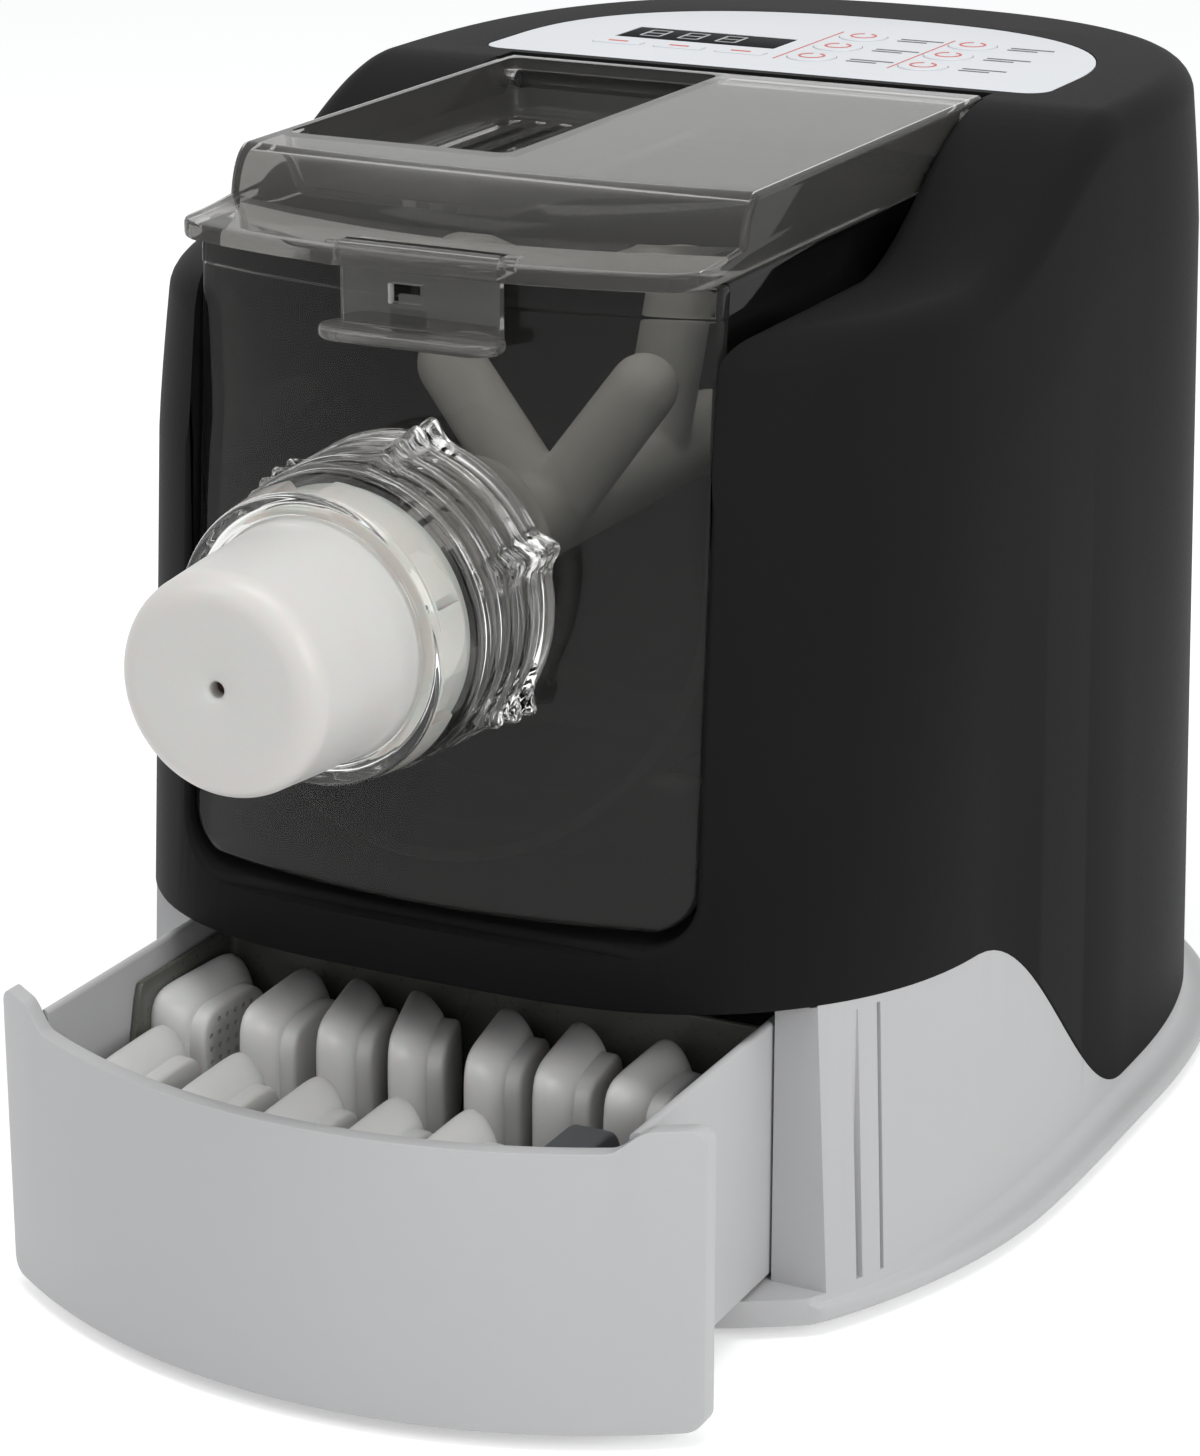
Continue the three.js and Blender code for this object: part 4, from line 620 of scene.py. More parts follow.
tray = dict(
    half=85, rearY=30, frontY=-215, corner=5, wall=2.6, lowZ=13.2, topZ=82.6, rim=1.1, floorZ=(12.2, 14.6),
    floorInset=0.1, floorRim=0.8)
path = uPath(tray["half"], tray["rearY"], tray["frontY"], tray["corner"])
box = wallRun("drawer_tray", path, tray["wall"], tray["lowZ"], lambda y: tray["topZ"], tray["rim"])
floorHalf = tray["half"] - tray["floorInset"]
trayFloor = rimmedBox("tray_floor", -floorHalf, floorHalf, tray["frontY"], tray["rearY"] - tray["floorInset"],
                      *tray["floorZ"], 4.8, tray["floorRim"])
combine(box, [trayFloor], "UNION")
combine(box, [beforeDrawer("front", drawer["boxGap"])])
dress(box, baseGrey, "drawer", ["drawer_box"], 40)

rack = dict(
    half=81.9, wall=1.6, rim=0.7, lowZ=15.5, rearY=-60, corner=4, topZ=76, dropY=-106.5, dropRun=6.5,
    lowTopZ=59, frontHalf=79, frontGap=5.6, frontFloor=(-81.2, 81.2, -215, -60.7, 14.7, 26.7),
    rearFloor=(-81.2, 81.2, -103.1, -60.8, 15, 31.7))


def linerTop(y):
    step = float(ease((rack["dropY"] - y) / rack["dropRun"]))
    return rack["topZ"] - (rack["topZ"] - rack["lowTopZ"]) * step


halfPath = [p for p in uPath(rack["half"], rack["rearY"], -140, rack["corner"]) if p[0] < 0 and p[1] > -98]
sideStartY = drawerY(rack["half"], drawer["linerGap"]) + 3
halfPath = [(-rack["half"], y) for y in np.linspace(sideStartY, -100, 60)] + halfPath
frontArc = [(x, drawerY(x, drawer["linerGap"])) for x in np.linspace(-rack["frontHalf"], rack["frontHalf"], 61)]
loop = halfPath + [(-x, y) for x, y in halfPath[::-1]] + frontArc[::-1]
liner = wallRun("die_liner", loop, rack["wall"], rack["lowZ"], linerTop, rack["rim"], closed=True)
floors = [block("front_floor", *rack["frontFloor"]), block("rear_floor", *rack["rearFloor"])]
combine(floors[0], [beforeDrawer("liner_front", rack["frontGap"])])
combine(liner, floors, "UNION")
dress(liner, rackSmoke, "drawer", ["die_rack"], 40)


def superRing(x, size, power, count=72):
    turn = np.arange(count) / count * 2 * pi - pi / 2
    radius = size * (np.abs(np.cos(turn)) ** power + np.abs(np.sin(turn)) ** power) ** (-1 / power)
    return np.stack([np.full(count, float(x)), radius * np.cos(turn), radius * np.sin(turn)], 1)


# sections run from the slab to the plug: how far along, half the width, and how square
dies = dict(
    half=20, rearY=-84.2, rearZ=32.0, frontZ=27.0, frontYaw=1, rear=[(-79.2, -4), (-54.0, 2.5), (-35.0, 14),
        (-15.6, 19), (9.4, 11.5), (30, 9), (52.9, 1)],
    front=[(-74, -124.5), (-46.5, -131), (-20.5, -135), (3.5, -137), (23.6, -135.6)], sections=((0.0, 19.2, 6),
        (0.25, 19.65, 6), (0.8, 19.95, 6), (1.5, 20, 6), (2.4, 19.9, 5.8), (3.4, 19.65, 5.6), (4.4, 19.3, 5.3),
        (5.4, 18.85, 5), (6.4, 18.25, 4.7), (7.3, 17.6, 4.4), (8.1, 16.9, 4.2), (8.7, 16.3, 4.1),
        (9.05, 15.8, 4), (9.2, 15.3, 4), (9.35, 15.0, 4), (12.6, 14.8, 4), (13.2, 14.6, 4), (13.6, 14.2, 4),
        (13.8, 13.6, 4), (13.8, 9, 4), (13.8, 4, 4)), holeRadius=0.8, holePitch=3.7, holeReach=3, holeX=(7, 30))


def storedDie(name, x, y, bottomZ, yaw, holes):
    points = []
    turn = radians(yaw)
    middleZ = bottomZ + dies["half"]
    for ring in [superRing(*section) for section in dies["sections"]]:
        px = ring[:, 0] * cos(turn) - ring[:, 1] * sin(turn)
        py = ring[:, 0] * sin(turn) + ring[:, 1] * cos(turn)
        points.append(np.stack([px + x, py + y, ring[:, 2] + bottomZ + dies["half"]], 1))
    piece = loftPiece(name, points)
    reach, pitch = dies["holeReach"], dies["holePitch"]
    drills = []
    for i in range(-reach, reach + 1):
        for j in range(-reach, reach + 1):
            if not holes or abs(i) == abs(j) == reach:
                continue
            hole = rod("drill", dies["holeRadius"], *dies["holeX"], i * pitch, j * pitch, "x", 10)
            hole.data.transform(Matrix.Translation((0, -shiftY / 1000, 0)))
            hole.data.transform(Matrix.Rotation(turn, 4, "Z"))
            hole.data.transform(Matrix.Translation((x / 1000, (y + shiftY) / 1000, middleZ / 1000)))
            drills.append(hole)
    if drills:
        combine(drills[0], drills[1:], "UNION")
        combine(piece, drills[:1])
    return piece


for i, (x, yaw) in enumerate(dies["rear"]):
    die = storedDie(f"stored_die_rear_{i + 1}", x, dies["rearY"], dies["rearZ"], yaw, i == 0)
    dress(die, dieWhite, "drawer", [f"die_rear_{i + 1}"], 40)
for i, (x, y) in enumerate(dies["front"]):
    die = storedDie(f"stored_die_front_{i + 1}", x, y, dies["frontZ"], dies["frontYaw"], False)
    dress(die, dieWhite, "drawer", [f"die_front_{i + 1}"], 40)
cutter = dict(yz=(-147.4, -111.8, 27.1, 66.9), x=(51.2, 62.8), corner=8, rim=1.4)
cutterTool = rimmedBox("dough_cutter_blade", *cutter["yz"], *cutter["x"], cutter["corner"], cutter["rim"], "x")
dress(cutterTool, darkGrey, "drawer", ["dough_cutter"], 40)
print("stage: drawer and dies")


drum = dict(
    half=72.6, wall=3, topZ=272.4, rearTopZ=268, rearWallHalf=72.0, rearY=(78, 81), frontY=-160, floorZ=107.8,
    saddles=(-42, 42), saddleHalf=48, saddleTopZ=133, frontGap=3.5, shaftHole=6.4)


def troughOutline(radius, top, steps=64):
    outline = [(-radius, top)]
    for k in range(steps + 1):
        turn = pi + k / steps * pi
        outline.append((radius * cos(turn), axisZ + radius * sin(turn)))
    outline.append((radius, top))
    return outline


def beforePlate(name, depth):
    return beforeArc(name, face["arcRadius"], face["frontY"], depth, face["rake"], face["lowZ"])


def ribbonOutline(radius, wall, top, steps=64, tip=4):
    centre = top - wall / 2
    outer, inner = troughOutline(radius, centre, steps), troughOutline(radius - wall, centre, steps)
    rim = [(radius - wall / 2 + wall / 2 * cos(k / tip * pi), centre + wall / 2 * sin(k / tip * pi))
           for k in range(1, tip)]
    middle = len(rim) // 2
    left = [(-x, z) for x, z in rim]
    return left[:middle + 1][::-1] + outer + rim + inner[::-1] + left[middle + 1:][::-1]


ribbon = ribbonOutline(drum["half"], drum["wall"], drum["topZ"])
wallY, rearY = drum["rearY"]
trough = mirroredLoft("drum_trough", [flatRing(ribbon, y, "y") for y in (drum["frontY"], rearY)])
joined = [prism("rear_wall", troughOutline(drum["rearWallHalf"], drum["rearTopZ"]), wallY, rearY, "y")]
half = drum["saddleHalf"]
joined += [block("saddle", -half, half, y - 2, y + 2, drum["floorZ"], drum["saddleTopZ"]) for y in drum["saddles"]]
combine(trough, joined, "UNION")
space = troughOutline(drum["half"] - drum["wall"], 300)
combine(trough, [prism("drum_space", space, drum["frontY"] - 10, wallY, "y"),
                 beforePlate("drum_front", drum["frontGap"]),
                 block("rear_rim", -90, 90, wallY - 3, rearY + 3, drum["rearTopZ"], 300),
                 rod("shaft_hole", drum["shaftHole"], 70, 90, 0, axisZ)])
dress(trough, drumSmoke, "machine", ["mixing_drum"], 40)

pane = dict(
    half=72.6, low=111, high=271.8, lowCorner=12, highCorner=1.2, thickness=3.2, rim=1.1, bandZ=264,
    bandRise=0.7, bandEdge=0.5, collarRadius=33, collarY=(-93.5, -131.7), bore=26,
    catch=(-9, 1, -94.0, -90.2, 258, 262))


def paneHalf(z):
    for corner, rise in ((pane["lowCorner"], z - pane["low"]), (pane["highCorner"], pane["high"] - z)):
        if rise < corner:
            return pane["half"] - corner + sqrt(max(0, corner ** 2 - (corner - rise) ** 2))
    return pane["half"]


# closer together near both ends
def spread(low, high, edge, count):
    near = [edge * t for t in (0, 0.12, 0.3, 0.55, 1, 1.6, 2.6, 4.2, 7)]
    inside = list(np.linspace(low + near[-1], high - near[-1], count)[1:-1])
    return [low + n for n in near] + inside + [high - n for n in near[::-1]]


zRows = sorted(spread(pane["low"], pane["high"], 1.6, 26)
               + [pane["bandZ"] + k for k in (-0.9, -0.5, -0.25, 0, 0.25, 0.5, 0.9)])
uRows = spread(-1, 1, 0.02, 34)
frontPoints, rearPoints = [], []
for z in zRows:
    half = paneHalf(z)
    edgeZ = min(z - pane["low"], pane["high"] - z)
    for u in uRows:
        x = u * max(half, 0.5)
        edge = min(edgeZ, pane["half"] - abs(x), max(half, 0.5) - abs(x))
        rounding = pane["rim"] - sqrt(max(0, pane["rim"] ** 2 - max(0, pane["rim"] - edge) ** 2))
        lean = (z - face["lowZ"]) * face["rake"]
        band = pane["bandRise"] * float(ease((z - pane["bandZ"] + pane["bandEdge"]) / (2 * pane["bandEdge"])))
        frontPoints.append((x, arcY(x, face["frontY"], 0) + lean - band + rounding, z))
        rearPoints.append((x, arcY(x, face["frontY"], pane["thickness"]) + lean, z))
across, down = len(uRows), len(zRows)
total = across * down
faces = []
for r in range(down - 1):
    for c in range(across - 1):
        a = r * across + c
        faces.append((a, a + 1, a + across + 1, a + across))
        faces.append((total + a, total + a + across, total + a + across + 1, total + a + 1))
border = list(range(across)) + [r * across + across - 1 for r in range(1, down)]
border += [(down - 1) * across + c for c in range(across - 2, -1, -1)]
border += [r * across for r in range(down - 2, 0, -1)]
for k, a in enumerate(border):
    b = border[(k + 1) % len(border)]
    faces.append((a, total + a, total + b, b))
plate = newPiece("front_window", frontPoints + rearPoints, faces)
radius, (collarRearY, collarY) = pane["collarRadius"], pane["collarY"]
collarProfile = [(1, collarRearY), (radius, collarRearY), (radius, collarY + 0.8),
                 (radius - 0.2, collarY + 0.3), (radius - 0.7, collarY), (1, collarY)]
combine(plate, [lathe("collar", collarProfile, 128), block("catch", *pane["catch"])], "UNION")
combine(plate, [rod("bore", pane["bore"], -140, -85, 0, axisZ, "y", 128)])
dress(plate, windowSmoke, "machine", ["drum_front_plate"], 40)
print("stage: drum and window", len(plate.data.polygons))


lid = dict(
    half=72.4, wall=2.6, skirtZ=273, topZ=291, topFrontY=-61, topBow=4, creaseY=-80.5, creaseZ=279,
    creaseBow=15, creasePower=1.9, lipFrontY=-105, lipTopZ=277.4, lipCorner=9, rearY=87, edge=1.6,
    rounding=1.5, noseTurn=74, startY=-50, flatY=70, underZ=243, stepZ=262, underHalf=69.8,
    pinBore=(2.8, -80, 80, 82, 285), slots=(-61, -53, -45), slot=(2, 18, 70, 1.5),
    notch=(-22.4, 22.4, -98.2, -92.8, 268, 278.25))
basin = dict(
    rim=(-69, -4, -43, 82.5), floor=(-66.5, -7, -39, 79.5), floorZ=276, corner=3.5, wall=2.2,
    levels=((2.2, 0.0), (1.2, 0.02), (0.45, 0.07), (0.08, 0.13), (0, 0.2), (0, 0.9)))
latchParts = dict(
    half=22, radius=2.3, pinRadius=1.3, pivot=(-95.5, 275.6), lowZ=254.6, tongueY=(-97, -94),
    shelf=(-25, 25, -108, -94, 255, 258.4), window=(-8.5, 0.5, -104, -90, 263.5, 268.5),
    hook=(-5.5, 3, -110, -95.6, 262, 266))


# the lid seen from its side: flat top, rounded nose, a crease, the lip that stands out, and the underside
def lidProfile(x, inset, hollow=False):
    share = min(abs(x) / lid["half"], 1)
    topY = lid["topFrontY"] + lid["topBow"] * share ** 2
    creaseY = lid["creaseY"] + lid["creaseBow"] * share ** lid["creasePower"]
    corner, skirtZ, underZ = lid["lipCorner"], lid["skirtZ"], lid["underZ"]
    past = max(0, abs(x) - (lid["half"] - corner))
    lipY = arcY(x, lid["lipFrontY"], 0) + corner - sqrt(max(0, corner ** 2 - past ** 2))
    lipY = min(lipY, creaseY - 2.5) + inset * 0.5
    top, rear, r = lid["topZ"] - inset, lid["rearY"] - inset, lid["rounding"]
    if hollow:
        outline = [(lid["startY"], underZ), (rear, underZ), (rear, lid["stepZ"])]
    else:
        outline = [(lid["startY"], skirtZ), (rear - 3, skirtZ), (rear, skirtZ + 4)]
    for turn in quarter(4):
        outline.append((rear - r + r * cos(turn), top - r + r * sin(turn)))
    for s in (0.0, 0.1, 0.25, 0.5, 0.75, 0.95):
        outline.append((lid["flatY"] + (topY - lid["flatY"]) * s, top))
    drop = lid["topZ"] - lid["creaseZ"]
    widest = radians(lid["noseTurn"])
    for k in range(19):
        turn = k / 18 * widest
        y = topY - (topY - creaseY) * sin(turn) / sin(widest)
        z = lid["topZ"] - drop * (1 - cos(turn)) / (1 - cos(widest))
        outline.append((y + inset * sin(turn), z - inset * cos(turn)))
    noseY = outline[-1][0]
    if hollow:
        return outline + [(noseY, lid["stepZ"]), (noseY, underZ)]
    creaseZ, lipZ = lid["creaseZ"] - inset * 0.3, lid["lipTopZ"] - inset * 0.3
    for k in range(1, 9):
        s = k / 8
        outline.append((noseY + (lipY + r - noseY) * s, lipZ + (creaseZ - lipZ) * (1 - s) ** 1.6))
    for turn in quarter(5, 1):
        outline.append((lipY + r * (1 - sin(turn)), lipZ - r * (1 - cos(turn))))
    return outline + [(lipY, skirtZ + 0.9), (lipY + 0.3, skirtZ + 0.3), (lipY + 0.9, skirtZ)]


def lidRing(x, inset, hollow=False):
    return [(x, y, z) for y, z in lidProfile(x, inset, hollow)]


def basinRing(margin, level):
    x0, x1, y0, y1 = [f + (r - f) * level + margin * way
                      for f, r, way in zip(basin["floor"], basin["rim"], (-1, 1, -1, 1))]
    z = basin["floorZ"] - margin + (lid["topZ"] - basin["floorZ"] + margin) * level
    return [(x, y, z) for x, y in roundedBox(x0, x1, y0, y1, basin["corner"] + margin, 6)]


# rounded where the walls meet the floor
def basinSolid(name, margin, top):
    rings = []
    for drawnIn, level in basin["levels"]:
        rings.append([(x, y, z - drawnIn) for x, y, z in basinRing(margin - drawnIn, level)])
    rings.append([(x, y, top) for x, y, z in basinRing(margin, 1.0)])
    return loftPiece(name, rings, caps="fan")


half, edge, corner = lid["half"], lid["edge"], lid["lipCorner"]
xs = list(np.linspace(0, half - corner, 22))
xs += [half - corner + corner * sin(t) for t in np.linspace(0.16, 1.02, 6)]
xs += [half - edge + edge * sin(t) for t in np.linspace(0, pi / 2, 6)]
rings = []
for x in [-x for x in xs[:0:-1]] + xs:
    past = max(0, abs(x) - half + edge)
    rings.append(lidRing(x, edge - sqrt(max(0, edge ** 2 - past ** 2))))
cover = loftPiece("lid_cover", rings, caps="fan")
underXs = np.linspace(-lid["underHalf"], lid["underHalf"], 31)
combine(cover, [loftPiece("lid_under", [lidRing(x, lid["wall"], True) for x in underXs], caps="fan")])
combine(cover, [basinSolid("basin_outside", basin["wall"], lid["topZ"] - 0.4)], "UNION")
tools = [basinSolid("basin_inside", 0, lid["topZ"] + 6)]
slotHalf, slotLow, slotHigh, slotCorner = lid["slot"]
for x in lid["slots"]:
    tools.append(prism("slot", roundedBox(x - slotHalf, x + slotHalf, slotLow, slotHigh, slotCorner), 240, 284))
pinRadius, pivot = latchParts["pinRadius"], latchParts["pivot"]
tools += [rod("lid_pin_bore", *lid["pinBore"], "x", 24),
          rod("latch_bore", pinRadius, -26.3, 26.3, *pivot, "x", 24), block("latch_notch", *lid["notch"])]
combine(cover, tools)
dress(cover, smoke, "lid_assembly", ["lid"], 32)

half = latchParts["half"]
latch = rod("latch_flap", latchParts["radius"], -half, half, *pivot, "x", 40)
tongue = rimmedBox("tongue", -half, half, latchParts["lowZ"], pivot[1], *latchParts["tongueY"], 0.6, 0.5, "y")
combine(latch, [tongue, rimmedBox("latch_shelf", *latchParts["shelf"], 7, 1.3)], "UNION")
window = block("latch_window", *latchParts["window"])
combine(window, [block("latch_hook", *latchParts["hook"])])
combine(latch, [window, rod("latch_hole", pinRadius, -26, 26, *pivot, "x", 24)])
dress(latch, latchSmoke, "latch", ["lid_latch"], 40)
print("stage: lid", len(cover.data.polygons))


# each ridge is a row of points: how far forward, and how high as a share
nut = dict(
    rearY=-101.2, frontY=-153, rearRadius=39.0, waistRadius=37.2, frontRadius=36.1, ridgeStart=-103,
    ridgePitch=7.5, ridges=5, ridgeHeight=0.9, scallop=0.5, lobeHeight=4.4, lobeTurn=9, lobeWidth=4.6,
    lobeStart=8, lobeEndY=-138, boreRadius=33.4, mouthRadius=30.4, flangeSeatY=-149.0, rounding=1.4, sides=360,
    ridge=((-0.9, 0), (-0.55, 0.45), (-0.25, 0.9), (0, 1), (0.25, 0.9), (0.6, 0.45), (1.0, 0), (1.8, -0.35),
        (2.8, -0.8), (3.75, -1), (4.7, -0.85), (5.6, -0.45)))


def axisRing(y, radius, turn):
    return np.stack([radius * np.sin(turn), np.full(len(turn), float(y)), axisZ + radius * np.cos(turn)], 1)


def nutRing(y, radius):
    lobe = nut["lobeHeight"] * (1 - float(ease((nut["rearY"] - y - nut["lobeStart"])
                                               / (nut["rearY"] - nut["lobeStart"] - nut["lobeEndY"]))))
    turn = np.arange(nut["sides"]) / nut["sides"] * 2 * pi
    away = (np.degrees(turn) - nut["lobeTurn"] + 30) % 60 - 30
    return axisRing(y, radius + lobe * np.exp(-(away / nut["lobeWidth"]) ** 2), turn)


rearRadius, waist, frontRadius = nut["rearRadius"], nut["waistRadius"], nut["frontRadius"]
frontY = nut["frontY"]
stations = [(nut["rearY"], rearRadius - 0.9), (nut["rearY"] - 0.3, rearRadius - 0.3)]
for i in range(nut["ridges"]):
    for away, rise in nut["ridge"]:
        if i == nut["ridges"] - 1 and away > 1:
            break
        y = nut["ridgeStart"] - i * nut["ridgePitch"] - away
        share = (nut["ridgeStart"] - y) / (nut["ridges"] * nut["ridgePitch"])
        radius = rearRadius + (waist - rearRadius) * share
        stations.append((y, radius + rise * (nut["ridgeHeight"] if rise > 0 else nut["scallop"])))
endY, r = stations[-1][0], nut["rounding"]
for k in range(1, 11):
    share = k / 10
    radius = waist + (frontRadius - waist) * share + 0.35 * sin(share * pi)
    stations.append((endY + (frontY + r - endY) * share, radius))
for turn in quarter(6, 1):
    stations.append((frontY + r * (1 - sin(turn)), frontRadius - r * (1 - cos(turn))))
ringNut = loftPiece("nozzle_ring", [nutRing(*station) for station in stations], caps="fan")
bore, mouth, seatY = nut["boreRadius"], nut["mouthRadius"], nut["flangeSeatY"]
boreProfile = [(0.01, -98), (bore, -98), (bore, seatY), (bore - 0.3, seatY - 0.5), (bore - 1, seatY - 0.8),
               (mouth + 0.5, seatY - 1), (mouth, seatY - 1.5), (mouth, -151.6), (mouth + 0.4, -152.6),
               (mouth + 1.4, -153.1), (mouth + 1.4, -160), (0.01, -160)]
combine(ringNut, [lathe("nut_bore", boreProfile, 192, closed=False)])
dress(ringNut, clearPlastic, "nut", ["ring_nut"], 38)

# a notch is the turns of its places, its width and how far in it reaches
dieHead = dict(
    cone=(29.7, -150.2), front=(27.2, -195), conePower=1.2, rounding=7, hole=2.0, flange=32.9,
    flangeRearY=-138.5, notches=(((70, 190, 310), 2.2, 30.6), ((110, 230, 350), 12, 29.4)),
    notchY=(-148.2, -130), notchReach=36)
flange, flangeY = dieHead["flange"], dieHead["flangeRearY"]
profile = [(24, -132.2), (28.6, -132.0), (29, -132.4), (29, -138.2), (flange - 0.4, flangeY),
           (flange, flangeY - 0.4), (flange, -148.3), (flange - 0.3, -148.8), (mouth, -148.9), (29.9, -149.4)]
(coneRadius, coneY), (tipRadius, tipY), r = dieHead["cone"], dieHead["front"], dieHead["rounding"]
for k in range(9):
    share = k / 8
    profile.append((coneRadius + (tipRadius - coneRadius) * share ** dieHead["conePower"],
                    coneY + (tipY + r - coneY) * share))
for turn in quarter(14, 1):
    profile.append((tipRadius - r * (1 - cos(turn)), tipY + r * (1 - sin(turn))))
hole = dieHead["hole"]
profile += [(12, -194.95), (6, -194.8), (hole + 1.4, -194.5), (hole + 0.5, -194.1), (hole, -193.4),
            (hole, -190), (20, -190), (22, -160)]
head = lathe("nozzle_head", profile, 128)
notches = []
for turns, width, inner in dieHead["notches"]:
    for middle in turns:
        notch = block("flange_notch", -width / 2, width / 2, *dieHead["notchY"], inner, dieHead["notchReach"])
        notch.data.transform(Matrix.Rotation(radians(middle), 4, "Y"))
        notch.data.transform(Matrix.Translation((0, 0, axisZ / 1000)))
        notches.append(notch)
combine(head, notches)
dress(head, nozzleWhite, "die_head", ["nozzle_die"], 35)

# an arm is its turn in degrees, its y, its length, and its radius at the hub and at the tip
paddle = dict(
    hub=(11, -66, 72), socket=(6.4, 42, 90), sides=48, voxel=0.0012, relax=0.8, relaxSteps=8,
    arms=(("arm_left", -37, -30, 46.5, 9.5, 9.0), ("arm_right", 37, -30, 46.5, 9.5, 9.0),
        ("arm_rear", 10, 32, 50.5, 9.5, 9.3)))
screw = dict(rearY=-66.3, frontY=-128, core=9, flight=15.5, turns=2, steps=72, sides=72)


def capsuleArm(name, turnDegrees, y, length, radius, tipRadius):
    turn = radians(turnDegrees)
    stations = [(-radius * cos(t), radius * sin(t)) for t in np.linspace(0.15, pi / 2, 8)]
    stations += [(s * length, radius + (tipRadius - radius) * s) for s in np.linspace(0.1, 1, 8)]
    stations += [(length + tipRadius * sin(t), tipRadius * cos(t))
                 for t in np.linspace(0.15, pi / 2 - 0.1, 8)]
    angle = np.arange(paddle["sides"]) / paddle["sides"] * 2 * pi
    rings = []
    for along, r in stations:
        a, b = r * np.cos(angle), r * np.sin(angle)
        px = along * sin(turn) + a * cos(turn)
        pz = along * cos(turn) - a * sin(turn)
        rings.append(np.stack([px, y + b, axisZ + pz], 1))
    return loftPiece(name, rings, caps="fan")


mixer = rod("mixing_arms", *paddle["hub"], 0, axisZ)
soften(mixer, 1.5, 3, 40)
combine(mixer, [capsuleArm(*arm) for arm in paddle["arms"]], "UNION")
blend = mixer.modifiers.new("blend", "REMESH")
blend.mode = "VOXEL"
blend.voxel_size = paddle["voxel"]
relax = mixer.modifiers.new("relax", "SMOOTH")
relax.factor = paddle["relax"]
relax.iterations = paddle["relaxSteps"]
applied(mixer)
combine(mixer, [rod("socket", *paddle["socket"], 0, axisZ, "y", 48)])
dress(mixer, paddleWhite, "mixer", ["mixing_paddle"], 50)

angle = np.arange(screw["sides"]) / screw["sides"] * 2 * pi
rings = []
for step in range(screw["steps"] + 1):
    share = step / screw["steps"]
    peak = ((1 + np.cos(angle - share * screw["turns"] * 2 * pi)) / 2) ** 3
    y = screw["rearY"] + (screw["frontY"] - screw["rearY"]) * share
    rings.append(axisRing(y, screw["core"] + screw["flight"] * peak, angle))
auger = loftPiece("dough_screw", rings, caps="fan")
dress(auger, paddleWhite, "mixer", ["auger_screw"], 50)
print("stage: nozzle and paddle")


keys = dict(
    barX=(-53.5, -34.1, -14.7), barY=118.5, barSize=(15, 5), roundX=(6.5, 40.5), roundY=(120.5, 139, 157.5),
    radius=7, gap=0.2, lowZ=284.1, capZ=291.4, rim=0.4)
screenPlace = dict(box=(-59, -9, 128, 145), lowZ=283.4, gap=0.3)
marks = dict(
    barHalf=3, barTall=0.6, ringRadius=3.9, line=0.7, gapHalf=1.1, gapReach=9, topZ=291.5, barStart=11.3,
    barLengths=(13, 9), barPitch=3, barWidth=1, rise=0.1, dividers=(-2.4, 32.6), dividerHalf=0.2,
    dividerY=(113.5, 163.5), digitX=(-50, -38, -26), digitY=136.5, digitHalf=3, digitRise=4.6, stroke=0.9)
cutZ, topZ = (280, 300), overlay["topZ"]
printZ = (topZ - 0.1, topZ + marks["rise"])
barHalfX, barHalfY = [size / 2 for size in keys["barSize"]]
places = [(x, y) for x in keys["roundX"] for y in keys["roundY"]]

panel = rimmed("panel_overlay", lambda inset: panelOutline(-inset), overlay["lowZ"], topZ, overlay["rim"],
               both=False)
x0, x1, y0, y1 = screenPlace["box"]
gap = screenPlace["gap"]
holes = [block("screen_hole", x0 - gap, x1 + gap, y0 - gap, y1 + gap, *cutZ)]
reachX, reachY, y = barHalfX + keys["gap"], barHalfY + keys["gap"], keys["barY"]
for x in keys["barX"]:
    outline = roundedBox(x - reachX, x + reachX, y - reachY, y + reachY, 1.2, 4)
    holes.append(prism("bar_hole", outline, *cutZ))
holes += [rod("round_hole", keys["radius"] + keys["gap"], *cutZ, x, y, "z") for x, y in places]
combine(panel, holes)
dress(panel, panelGrey, "machine", ["control_panel"], 40)
screen = rimmedBox("display_glass", *screenPlace["box"], screenPlace["lowZ"], topZ, 0.8, 0.3, steps=3,
                   both=False)
dress(screen, displayDark, "machine", ["display_window"], 40)


def keyCap(name, x, y, halfX, halfY, corner, steps):
    return rimmedBox(name, x - halfX, x + halfX, y - halfY, y + halfY, keys["lowZ"], keys["capZ"], corner,
                     keys["rim"], steps=steps, both=False)


for number, x in enumerate(keys["barX"], 1):
    y = keys["barY"]
    key = keyCap(f"bar_key_{number}", x, y, barHalfX, barHalfY, 1, 4)
    dress(key, panelGrey, f"key_bar_{number}_body", [f"key_bar_{number}"], 40)
    mark = block(f"bar_mark_{number}", x - marks["barHalf"], x + marks["barHalf"], y - marks["barTall"],
                 y + marks["barTall"], topZ, marks["topZ"])
    dress(mark, printRed, f"key_bar_{number}_body", [], 40)
for number, (x, y) in enumerate(places, 1):
    key = keyCap(f"round_key_{number}", x, y, keys["radius"], keys["radius"], keys["radius"] - 0.01, 16)
    dress(key, panelGrey, f"key_round_{number}_body", [f"key_round_{number}"], 40)
    mark = rod(f"round_mark_{number}", marks["ringRadius"], topZ, marks["topZ"], x, y, "z", 48)
    inside = rod("mark_bore", marks["ringRadius"] - marks["line"], *cutZ, x, y, "z", 48)
    gapHalf = marks["gapHalf"]
    combine(mark, [inside, block("mark_gap", x - gapHalf, x + gapHalf, y, y + marks["gapReach"], *cutZ)])
    dress(mark, printRed, f"key_round_{number}_body", [], 40)


def printed(name, material, strips, main=-1):
    mark = strips.pop(main)
    combine(mark, strips, "UNION")
    mark.name = name
    dress(mark, material, "machine", [], 40)


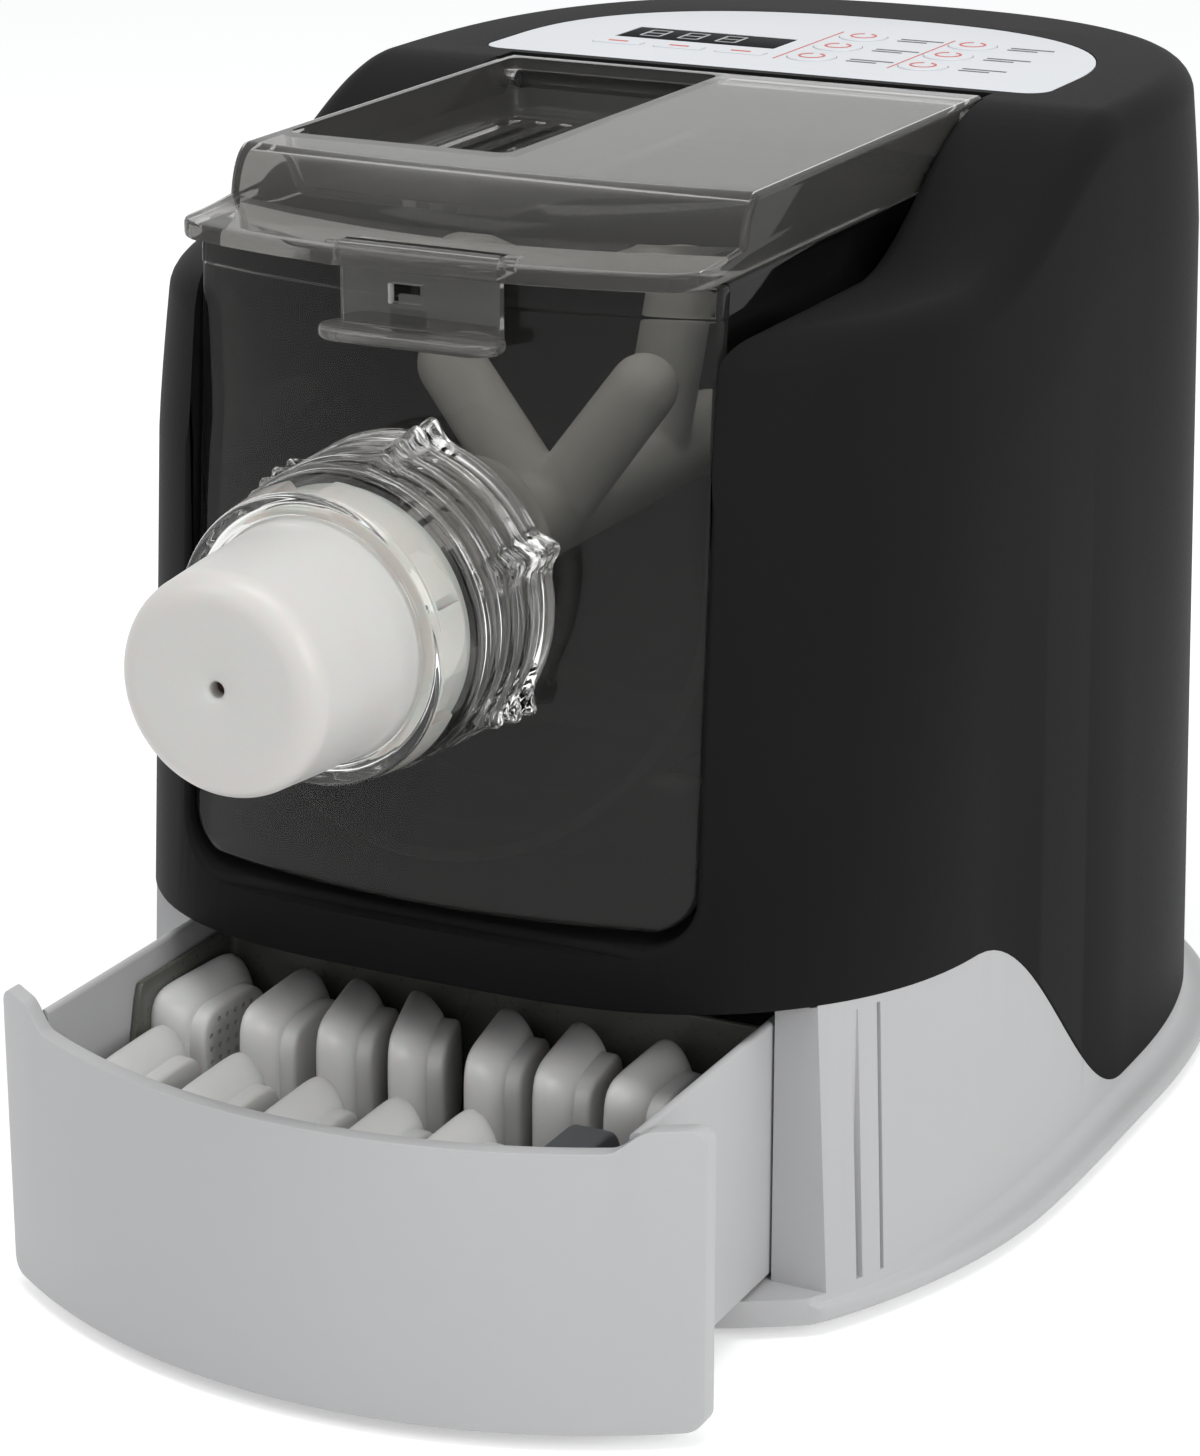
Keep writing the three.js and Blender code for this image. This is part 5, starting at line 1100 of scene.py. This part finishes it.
strips = []
for x, y in places:
    for row, length in enumerate(marks["barLengths"]):
        start, low = x + marks["barStart"], y + marks["barPitch"] * (0.5 - row) - marks["barWidth"] / 2
        strips.append(block("label_bar", start, start + length, low, low + marks["barWidth"], *printZ))
printed("label_bars", printDark, strips)
half = marks["dividerHalf"]
lines = [block("divider_line", x - half, x + half, *marks["dividerY"], *printZ) for x in marks["dividers"]]
printed("divider_line", printRed, lines, 0)
digits = []
half, rise, stroke, y = marks["digitHalf"], marks["digitRise"], marks["stroke"] / 2, marks["digitY"]
for x in marks["digitX"]:
    for z in (-rise, 0, rise):
        digits.append(block("digit_bar", x - half, x + half, y + z - stroke, y + z + stroke, *printZ))
    for side in (-half, half):
        digits.append(block("digit_post", x + side - stroke, x + side + stroke, y - rise, y + rise, *printZ))
printed("display_digits", digitGrey, digits)
print("stage: control panel")


finishes = [(blackPlastic, ["power_inlet", "cooling_fan"]),
            (baseGrey, ["base_deck", "drawer_rail_left", "drawer_rail_right"]),
            (darkGrey, ["gearbox_case", "gearbox_cover"]), (gearWhite, ["output_gear", "idler_gear"]),
            (steel, ["lid_pin_left", "lid_pin_right", "latch_pin", "output_shaft", "idler_shaft", "motor_shaft",
                     "motor_pinion", "shaft_bearing"]),
            (motorSteel, ["motor_can"]), (boardGreen, ["control_board"])]
for material, names in finishes:
    for name in names:
        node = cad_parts[name]
        node.data.materials.clear()
        node.data.materials.append(material)
        bevelled(node, 0.4, 2, 50)
print("stage: carried-over nodes dressed")


stageLook = dict(floorLift=0.42, worldLight=0.54, floorHalf=6)


# 1 for what the camera sees itself, in a reflection or through a clear piece
def seenDirectly(nodes, links):
    rays = nodes.new("ShaderNodeLightPath")
    seen = rays.outputs["Is Camera Ray"]
    for ray in ("Is Glossy Ray", "Is Transmission Ray"):
        either = nodes.new("ShaderNodeMath")
        either.operation = "MAXIMUM"
        links.new(seen, either.inputs[0])
        links.new(rays.outputs[ray], either.inputs[1])
        seen = either.outputs[0]
    return seen


floorMaterial = bpy.data.materials.new("floor_paper")
floorMaterial.use_nodes = True
nodes, links = floorMaterial.node_tree.nodes, floorMaterial.node_tree.links
shader = setInputs(nodes["Principled BSDF"], Base_Color=(0.9, 0.9, 0.9, 1), Roughness=0.9,
                   Specular_IOR_Level=0.0, Emission_Color=(1, 1, 1, 1))
lift = nodes.new("ShaderNodeMath")
lift.operation = "MULTIPLY"
lift.inputs[1].default_value = stageLook["floorLift"]
links.new(seenDirectly(nodes, links), lift.inputs[0])
links.new(lift.outputs[0], shader.inputs["Emission Strength"])
half = stageLook["floorHalf"]
floorMesh = bpy.data.meshes.new("floor")
corners = [(-half, -half, 0), (half, -half, 0), (half, half, 0), (-half, half, 0)]
floorMesh.from_pydata(corners, [], [(0, 1, 2, 3)])
floor = bpy.data.objects.new("floor", floorMesh)
floor.data.materials.append(floorMaterial)
bpy.context.scene.collection.objects.link(floor)

world = bpy.data.worlds.new("studio")
bpy.context.scene.world = world
world.use_nodes = True
nodes, links = world.node_tree.nodes, world.node_tree.links
nodes.clear()
out = nodes.new("ShaderNodeOutputWorld")
shown = setInputs(nodes.new("ShaderNodeBackground"), Color=(1, 1, 1, 1))
lighting = setInputs(nodes.new("ShaderNodeBackground"), Color=(0.98, 0.99, 1, 1),
                     Strength=stageLook["worldLight"])
mix = nodes.new("ShaderNodeMixShader")
links.new(seenDirectly(nodes, links), mix.inputs["Fac"])
links.new(lighting.outputs[0], mix.inputs[1])
links.new(shown.outputs[0], mix.inputs[2])
links.new(mix.outputs[0], out.inputs["Surface"])


def softbox(name, location, target, size, power):
    data = bpy.data.lights.new(name, "AREA")
    data.shape = "RECTANGLE"
    data.size, data.size_y = size
    data.energy = power
    lamp = bpy.data.objects.new(name, data)
    lamp.location = location
    lamp.rotation_euler = (Vector(target) - Vector(location)).to_track_quat("-Z", "Y").to_euler()
    bpy.context.scene.collection.objects.link(lamp)


softbox("key_light", (-0.9, -1.3, 1.5), (0, 0, 0.15), (0.9, 0.6), 5)
softbox("top_light", (0.1, -0.35, 1.7), (0, 0, 0.2), (1.2, 0.5), 9)
softbox("fill_light", (1.5, -0.7, 0.9), (0, 0, 0.15), (0.8, 0.8), 10)

view = dict(
    azimuth=26.74, elevation=18.87, distance=1.14155, lens=103.85,
    target=(0.00016, (0.08 + shiftY) / 1000, 0.12629))
cameraData = bpy.data.cameras.new("photo_camera")
cameraData.sensor_width = 36
cameraData.lens = view["lens"]
cameraData.clip_start = 0.01
camera = bpy.data.objects.new("photo_camera", cameraData)
azimuth, elevation = radians(view["azimuth"]), radians(view["elevation"])
level = cos(elevation)
direction = Vector((sin(azimuth) * level, -cos(azimuth) * level, sin(elevation)))
camera.location = Vector(view["target"]) + direction * view["distance"]
camera.rotation_euler = (-direction).to_track_quat("-Z", "Y").to_euler()
bpy.context.scene.collection.objects.link(camera)
bpy.context.scene.camera = camera
bpy.context.scene.view_settings.view_transform = "Standard"
